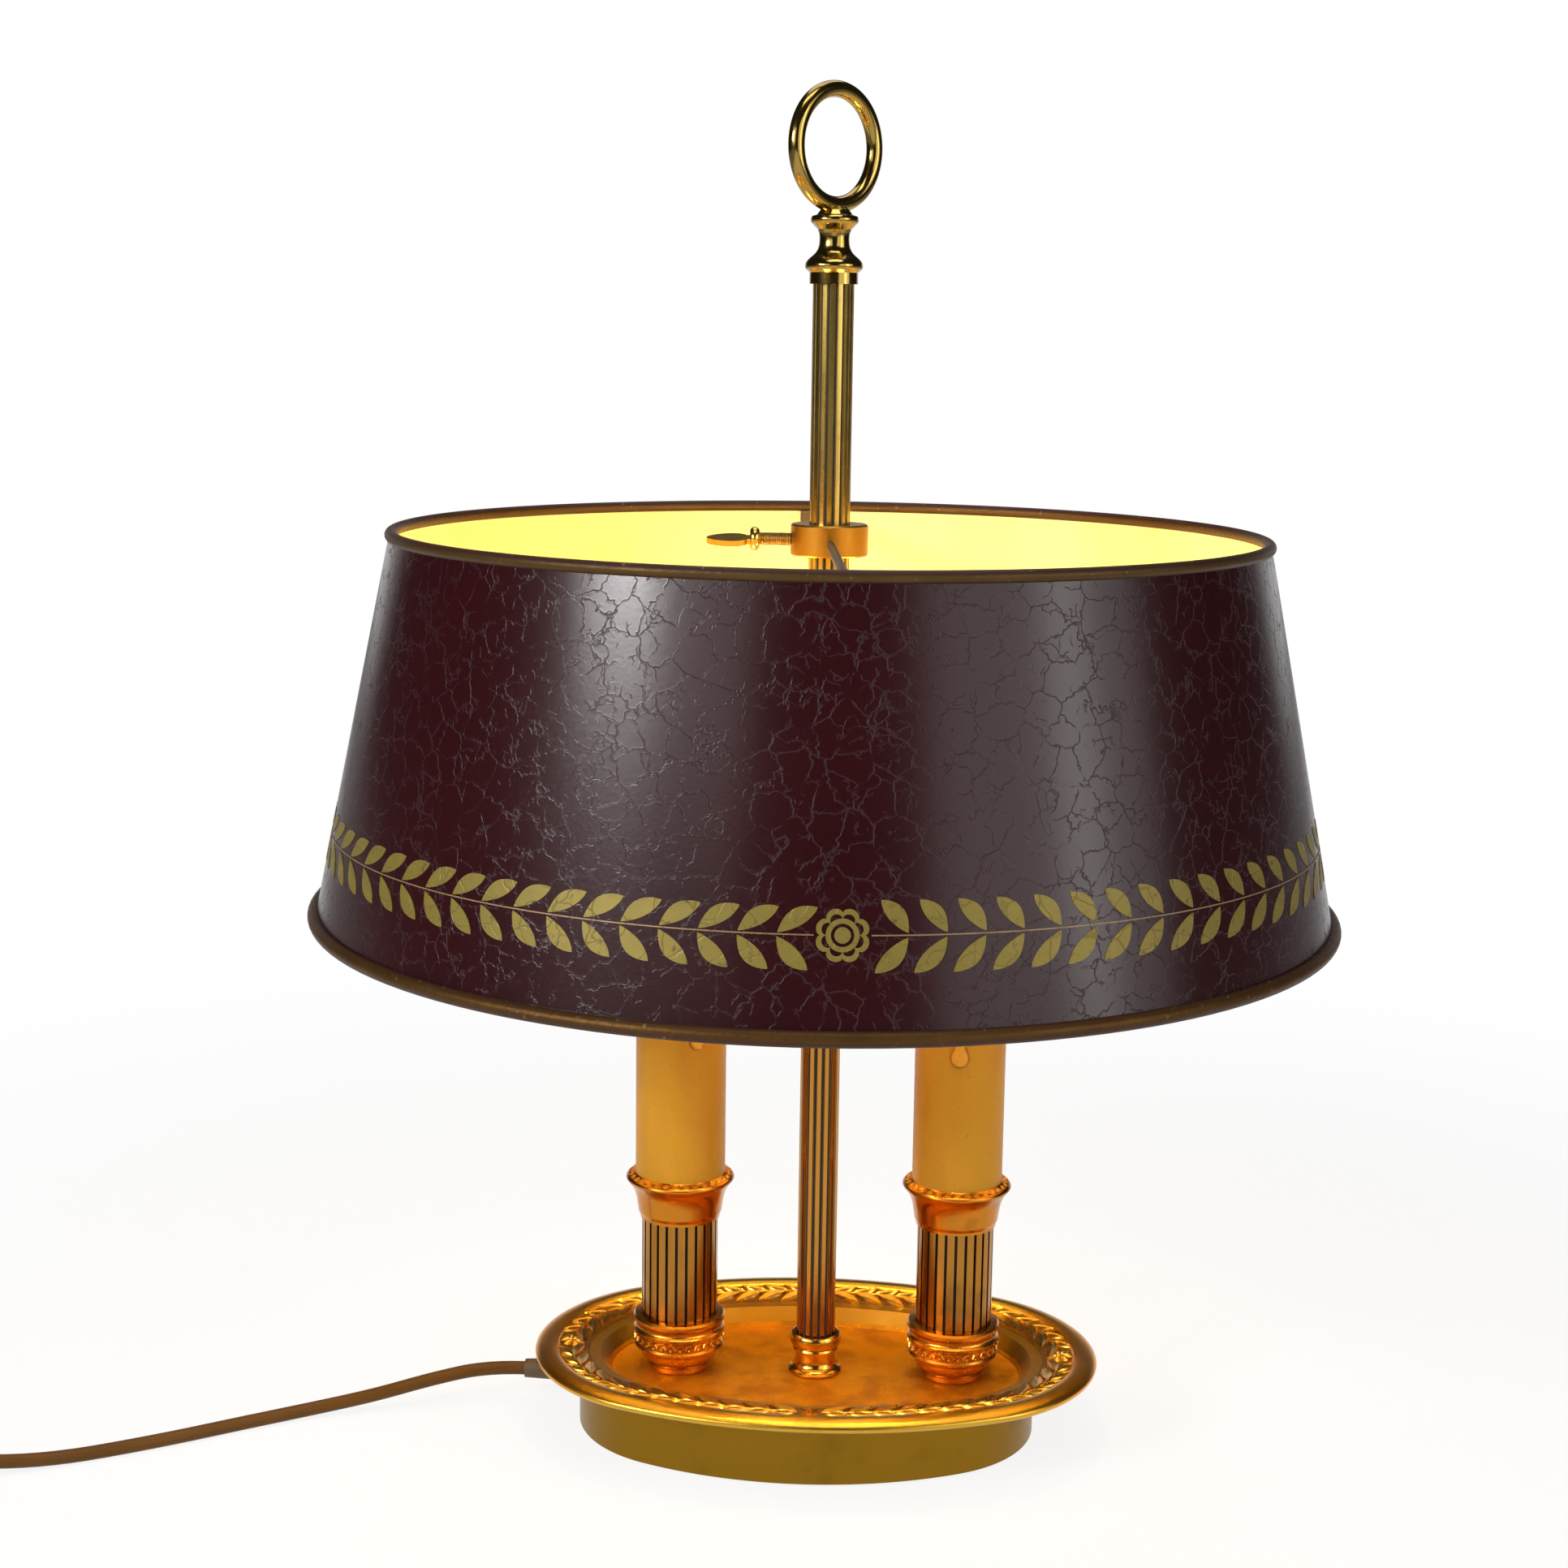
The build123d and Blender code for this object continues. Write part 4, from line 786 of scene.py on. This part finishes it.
def stencilLeaf(sizes, vector):
    along, up = vector
    return leafPoints({
        "base": (-sizes["leafStart"] * along, sizes["leafStart"] * up), "angle": degrees(atan2(up, -along)),
        "length": sizes["leafReach"] * hypot(along, up), "width": sizes["leafWidth"], "stations": 12,
        "outline": almondLeaf, "sink": sizes["sink"], "flat": True,
        "section": [(side, sizes["paint"]) for side in (-1, 0, 1)],
        "bend": sizes["leafBend"] if up < 0 else -sizes["leafBend"]})


def polar(radius, angle, height):
    return (radius * cos(angle) * mm, radius * sin(angle) * mm, height * mm)


def turns(steps):  # the angles of a full round
    return [2 * pi * step / steps for step in range(steps)]


def rosetteRing(sizes, steps, inner, outer):
    points, faces = [], []
    for angle in turns(steps):
        swell = abs(sin(sizes["lobes"] / 2 * angle)) ** 0.6
        near, far = [least + (most - least) * swell for least, most in (inner, outer)]
        for radius, end in ((near, "sink"), (near, "paint"), (far, "paint"), (far, "sink")):
            points.append(polar(radius, angle, sizes[end]))
    for step in range(steps):
        a, b = 4 * step, 4 * ((step + 1) % steps)
        faces += [(a + i, b + i, b + (i + 1) % 4, a + (i + 1) % 4) for i in range(4)]
    return points, faces


def makeStencil(sizes):
    pattern = makeWrapPattern()
    common = {
        "Start": radians(sizes["rosette"]), "Slope": radians(sizes["slope"]), "Growth": sizes["growth"] / mm,
        "Radius": sizes["radius"] * mm, "Height": sizes["height"] * mm}
    row = {**common, "Count": sizes["joints"], "First": sizes["first"] * mm, "Pitch": sizes["pitch"] * mm}
    line = leafPoints({
        "base": (-sizes["pitch"], 0), "length": sizes["pitch"], "width": sizes["line"], "stations": 4,
        "outline": evenStrip, "sink": sizes["sink"], "section": [(side, sizes["paint"]) for side in (-1, 1)]})
    for side, turn in (("Left", -1.0), ("Right", 1.0)):
        leaves = [stencilLeaf(sizes, vector) for vector in sizes["leaves" + side]]
        repeat("stencilLeaves" + side, pattern, "shade", "stencil_gilt", leaves, Turn=turn, **row)
        repeat("stencilLine" + side, pattern, "shade", "stencil_line", [line], Turn=turn, **row)
    rosette = [rosetteRing(sizes, *ring) for ring in sizes["rings"]]
    repeat("stencilRosettes", pattern, "shade", "stencil_gilt", rosette, Turn=1.0, Count=1, First=0.0,
           Pitch=0.0, **common)


# laurel garlands cast on the tray's border
laurel = {
    "inset": 12.1, "startGap": 4.0, "endGap": 13.0, "stemRadius": 0.5,
    "innerPitch": 8.2, "outerPitch": 7.4,
    "inner": {
        "base": (0, 0.3), "angle": 32, "length": 12.2, "width": 4.7, "outline": pointedLeaf, "sink": -0.7,
        "bend": -0.5,
        "section": ((-1, 0.0), (-0.74, 0.8), (-0.3, 0.5), (0, 0.2), (0.3, 0.5), (0.74, 0.8), (1, 0.0))},
    "outer": {
        "base": (0, -0.3), "angle": -23, "length": 10.2, "width": 3.6, "outline": pointedLeaf, "sink": -0.7,
        "bend": 0.4, "section": ((-1, 0.0), (-0.66, 0.65), (0, 0.2), (0.66, 0.65), (1, 0.0))},
    "knot": {
        "base": (-3.4, 0), "length": 6.8, "width": 1.5, "stations": 6, "outline": evenStrip, "sink": -0.6,
        "section": ((-1, 0.1), (-0.5, 0.75), (0.5, 0.75), (1, 0.1))},
    "knotAngles": (55, -55, 90),
    "flower": {"radius": 3.3, "petal": 1.4, "height": 1.2},
    "berry": {"radius": 0.95, "base": 0.4, "height": 1.2},
    "berryPlaces": ((0.9, 0, 0.2), (-0.55, 0.85, 0.2), (-0.55, -0.85, 0.2)),
}


def bandHeight(inset):
    share = (tray["bandInner"] - inset) / (tray["bandInner"] - tray["bandOuter"])
    return tray["bandLow"] + (tray["bandHigh"] - tray["bandLow"]) * share


def trayPath(inset, startGap, endGap):  # from the front's middle to the right-hand end
    side, end = tray["sideRadius"] - inset, tray["endRadius"] - inset
    half = radians(tray["halfAngle"])
    sideLength = side * (pi / 2 - half)
    total = sideLength + end * half
    count = int((total - startGap - endGap) / tray["pathStep"])
    places = []
    for index in range(count + 1):
        run = startGap + (total - startGap - endGap) * index / count
        if run < sideLength:
            angle = -pi / 2 + run / side
            places.append((side * cos(angle), tray["sideCentre"] + side * sin(angle)))
        else:
            angle = -half + (run - sideLength) / end
            places.append((tray["endCentre"] + end * cos(angle), end * sin(angle)))
    return [(x * mm, y * mm, bandHeight(inset) * mm) for x, y in places]


def pathObject(name, lines):
    curve = bpy.data.curves.new(name, "CURVE")
    curve.dimensions = "3D"
    for line in lines:
        spline = curve.splines.new("POLY")
        spline.points.add(len(line) - 1)
        for point, place in zip(spline.points, line):
            point.co = (*place, 1)
    return linked(name, curve)


def domed(radiusAt, heightAt, rings=5, segments=24, sink=-0.5):  # small round relief
    points, faces = [polar(0, 0, heightAt(0, 0))], []
    for ring in range(1, rings + 1):
        points += [polar(radiusAt(angle) * ring / rings, angle, heightAt(ring / rings, angle))
                   for angle in turns(segments)]
    points += [polar(radiusAt(angle), angle, sink) for angle in turns(segments)]
    for step in range(segments):
        after = (step + 1) % segments
        faces.append((0, 1 + step, 1 + after))
        for ring in range(rings):
            low, high = 1 + ring * segments, 1 + (ring + 1) * segments
            faces.append((low + step, high + step, high + after, low + after))
    faces.append(tuple(1 + rings * segments + step for step in range(segments)))
    return points, faces


def bead(sizes, rings, segments, sink=-0.5):
    return domed(lambda angle: sizes["radius"],
                 lambda share, angle: sizes["base"] + sizes["height"] * sqrt(max(0.0, 1 - share ** 2)),
                 rings, segments, sink)


def flower(sizes):  # six petals round a sunk middle
    def petals(angle):
        return sizes["radius"] + sizes["petal"] * abs(cos(3 * angle)) ** 0.7

    def bowl(share, angle):
        return sizes["height"] * sin(pi * (0.25 + 0.75 * share)) * (0.7 + 0.3 * abs(cos(3 * angle)))

    return domed(petals, bowl)


def movedShape(shape, matrix):
    points, faces = shape
    return [tuple(matrix @ Vector(point)) for point in points], faces


def makeLaurel(sizes):
    garland, wire = makeGarlandPattern(), makeStemPattern()
    slope = atan2(tray["bandHigh"] - tray["bandLow"], tray["bandInner"] - tray["bandOuter"])
    line = trayPath(sizes["inset"], sizes["startGap"], sizes["endGap"])
    paths = []
    for label, side in (("A", 1), ("B", -1)):  # each for two opposite quarters of the tray
        quarters = [[(turn * side * x, turn * y, z) for x, y, z in line] for turn in (1, -1)]
        paths.append((label, float(side), pathObject("path" + label, quarters)))
    for leaf in ("inner", "outer"):
        for label, side, path in paths:
            repeat("laurel" + leaf.title() + label, garland, "lamp_base", "laurel_brass",
                   [leafPoints(sizes[leaf])], Path=path, Side=side, Slope=slope,
                   Spacing=sizes[leaf + "Pitch"] * mm)
    for label, side, path in paths:
        grow("laurelStem" + label, wire, "lamp_base", "laurel_brass", Path=path,
             Radius=sizes["stemRadius"] * mm)
        bpy.data.objects.remove(path)
    parts = []
    reach = tray["endCentre"] + tray["endRadius"] - sizes["inset"]
    height = bandHeight(sizes["inset"])
    for end in (-1, 1):
        lie = Matrix.Translation((end * reach * mm, 0, height * mm)) @ Matrix.Rotation(-end * slope, 4, "Y")
        parts.append(movedShape(flower(sizes["flower"]), lie))
        for place in sizes["berryPlaces"]:
            spot = lie @ Matrix.Translation([part * mm for part in place])
            parts.append(movedShape(bead(sizes["berry"], 4, 12), spot))
    for side in (-1, 1):
        middle = (tray["sideRadius"] - tray["sideCentre"] - sizes["inset"]) * side
        lie = Matrix.Translation((0, middle * mm, height * mm)) @ Matrix.Rotation(side * slope, 4, "X")
        for angle in sizes["knotAngles"]:
            spot = lie @ Matrix.Rotation(radians(angle), 4, "Z")
            parts.append(movedShape(leafPoints(sizes["knot"]), spot))
    settle(template("laurelEnds", parts), "lamp_base", "laurel_brass")


# small ornament of the candle columns
columnOrnament = {
    "footRadius": 14.85, "footHeight": 29.65, "footCount": 30,
    "bead": {"radius": 0.62, "base": 0.0, "height": 0.62},
    "beadDrop": 0.75,
    "strip": {
        "length": 1.5, "width": 0.55, "stations": 2, "outline": evenStrip, "sink": -0.2,
        "section": ((-1, 0.1), (0, 0.5), (1, 0.1))},
    "arch": ((-1.3, -0.4, 62), (-0.68, 0.9, 12), (0.78, 1.0, -58)),  # start and angle of each strip
    "flangeRadius": 16.35, "flangeHeight": 86.95, "flangeCount": 32,
    "scallop": {
        "base": (-1.0, 0), "length": 2.1, "width": 2.3, "stations": 5, "outline": bluntLeaf, "sink": -0.25,
        "section": ((-1, 0.0), (-0.5, 0.28), (0, 0.12), (0.5, 0.28), (1, 0.0))},
    "scallopLean": (0.42, 0.91),
}


def makeColumnOrnament(sizes):
    ring = makeRingPattern()
    curl = [movedShape(bead(sizes["bead"], 3, 10, sizes["strip"]["sink"]),
                       Matrix.Translation((0, -sizes["beadDrop"] * mm, 0)))]
    curl += [leafPoints({**sizes["strip"], "base": (x, y), "angle": angle}) for x, y, angle in sizes["arch"]]
    repeat("footBands", ring, "lamp_base", "ornament_brass", curl, Count=sizes["footCount"],
           Radius=sizes["footRadius"] * mm, Offset=columns["offset"], Height=sizes["footHeight"] * mm)
    low, out = sizes["scallopLean"]
    lie = Matrix(((0, -1, 0, 0), (-low, 0, out, 0), (out, 0, low, 0), (0, 0, 0, 1)))
    scallop = [movedShape(leafPoints(sizes["scallop"]), lie)]
    repeat("flangeScallops", ring, "lamp_base", "ornament_brass", scallop, Count=sizes["flangeCount"],
           Radius=sizes["flangeRadius"] * mm, Offset=columns["offset"], Height=sizes["flangeHeight"] * mm)


waxDrops = {
    "candleRadius": 14.65,
    "places": (  # column side, degrees, height, width
        (-1, -65, 136.0, 5.6), (-1, 150, 148.2, 4.0), (-1, -150, 158.2, 4.2),
        (1, -92, 133.2, 6.4), (1, -40, 140.0, 5.2), (1, 130, 152.2, 4.0)),
    "segments": 20, "rings": 14, "taper": 0.28, "depth": 0.62, "tail": 1.9,
}


def makeWaxDrops(sizes):
    parts = []
    for side, angle, height, width in sizes["places"]:
        drop = bmesh.new()
        bmesh.ops.create_uvsphere(drop, u_segments=sizes["segments"], v_segments=sizes["rings"],
                                  radius=width / 2 * mm)
        for point in drop.verts:  # longer upwards, fullest near its lower end
            up = point.co.z / (width / 2 * mm)
            narrow = 1 - sizes["taper"] * max(0.0, up) ** 1.5
            point.co = (point.co.x * narrow, point.co.y * sizes["depth"] * narrow,
                        point.co.z * (sizes["tail"] if up > 0 else 1.0))
        turn = Matrix.Rotation(radians(angle + 90), 4, "Z")
        away = Vector((cos(radians(angle)), sin(radians(angle)), 0)) * sizes["candleRadius"] * mm
        place = Matrix.Translation(away + Vector((side * columns["offset"], 0, height * mm))) @ turn
        parts.append(([tuple(place @ point.co) for point in drop.verts],
                      [tuple(point.index for point in face.verts) for face in drop.faces]))
        drop.free()
    settle(template("waxDrops", parts), "lamp_base", "candle_plastic")


makeStencil(stencil)
print("stencilled band made")
makeLaurel(laurel)
print("laurel garlands made")
makeColumnOrnament(columnOrnament)
makeWaxDrops(waxDrops)
print("column ornament and wax drops made")


studio = {
    "floorRadius": 4.0, "floorHeight": -0.0002, "floorSteps": 96,
    "floorColor": (0.86, 0.86, 0.86),
    "wings": (0.50, 1.05),  # the sheet ends at both sides, for reflections
    "wingShade": 0.72,
    "clearFrom": (0.22, 0.75),  # shadows fade out over this distance
    "nearWhite": 0.86, "roomLevel": 0.025, "horizon": (0.12, 0.26),
    "backdrop": (0.72, 0.88), "aim": (0, 0, 0.22), "bulbHeight": 0.228,
    "bulbSize": 0.019, "bulbPower": 2.6, "bulbColor": (1.0, 0.58, 0.12),
    "panels": [  # azimuth, elevation, distance, width, height, power
        (-139, 21.5, 1.6, 0.46, 0.30, 18),
        (-121, 21, 1.6, 0.80, 0.60, 3.0),
        (-31, 17, 1.6, 0.28, 1.00, 3.2),
        (-38, 17, 1.6, 1.60, 1.00, 8.5),
        (-80, 78, 1.5, 0.9, 0.4, 5),
        (90, 62, 1.8, 1.2, 1.2, 8),
    ],
}


def makeFloor(sizes):
    steps = sizes["floorSteps"]
    rim = [polar(sizes["floorRadius"] / mm, angle, sizes["floorHeight"] / mm) for angle in turns(steps)]
    floor = linked("studioFloor", bpy.data.meshes.new("studioFloor"))
    floor.data.from_pydata(rim, [], [tuple(range(steps))])
    shader = Shader("studioFloor")
    seen = [shader.node("ShaderNodeLightPath", out=kind)
            for kind in ("Is Camera Ray", "Is Glossy Ray", "Is Transmission Ray")]
    matte = shader.node("ShaderNodeBsdfDiffuse", sockets={"Color": (*sizes["floorColor"], 1)})
    wings = shader.between(*sizes["wings"], abs(shader.x)) * sizes["wingShade"]
    glow = shader.math("MAXIMUM", seen[0], 1 - wings)
    white = shader.node("ShaderNodeEmission", sockets={"Color": shader.grey(glow), "Strength": 1.0})
    far = shader.between(*sizes["clearFrom"], shader.radius())
    amount = shader.math("MINIMUM", seen[0] + seen[1] + seen[2], 1.0)
    amount = amount * (sizes["nearWhite"] + far * (1 - sizes["nearWhite"]))
    surface = shader.node("ShaderNodeMixShader", sockets={0: amount, 1: matte, 2: white})
    floor.data.materials.append(shader.close(surface))


def makeAir(sizes):  # white backdrop at the back's horizon, a dim room elsewhere
    world = bpy.data.worlds.new("studioAir")
    bpy.context.scene.world = world
    world.use_nodes = True
    air = NodeTree()
    air.tree = world.node_tree
    air.tree.nodes.clear()
    x, y, z = air.split(air.node("ShaderNodeTexCoord", out="Generated"))
    low = 1 - air.between(*sizes["horizon"], z)
    level = sizes["roomLevel"] + (1.0 - sizes["roomLevel"]) * low * air.between(*sizes["backdrop"], y)
    level = air.math("MAXIMUM", level, air.node("ShaderNodeLightPath", out="Is Camera Ray"))
    light = air.node("ShaderNodeBackground", sockets={"Color": air.grey(level), "Strength": 1.0})
    end = air.tree.nodes.new("ShaderNodeOutputWorld")
    air.tree.links.new(light.socket, end.inputs["Surface"])


def makeLamp(name, kind, power):  # lights the object and isn't seen itself
    data = bpy.data.lights.new(name, kind)
    data.energy = power
    lamp = linked(name, data)
    lamp.visible_camera = False
    return lamp


def makeLights(sizes):
    aim = Vector(sizes["aim"])
    for number, (azimuth, elevation, distance, width, height, power) in enumerate(sizes["panels"]):
        lamp = makeLamp(f"panel{number}", "AREA", power)
        lamp.data.shape = "RECTANGLE"
        lamp.data.size = width
        lamp.data.size_y = height
        flat = cos(radians(elevation))
        away = Vector((flat * cos(radians(azimuth)), flat * sin(radians(azimuth)), sin(radians(elevation))))
        turn = away.to_track_quat("Z", "Y").to_matrix().to_4x4()
        lamp.matrix_world = Matrix.Translation(aim + away * distance) @ turn
    for side in (-1, 1):
        lamp = makeLamp("bulbLight", "POINT", sizes["bulbPower"])
        lamp.data.color = sizes["bulbColor"]
        lamp.data.shadow_soft_size = sizes["bulbSize"]
        lamp.location = (side * columns["offset"], 0, sizes["bulbHeight"])


makeFloor(studio)
makeAir(studio)
makeLights(studio)
bpy.context.scene.view_settings.view_transform = "Standard"
print("studio lit")
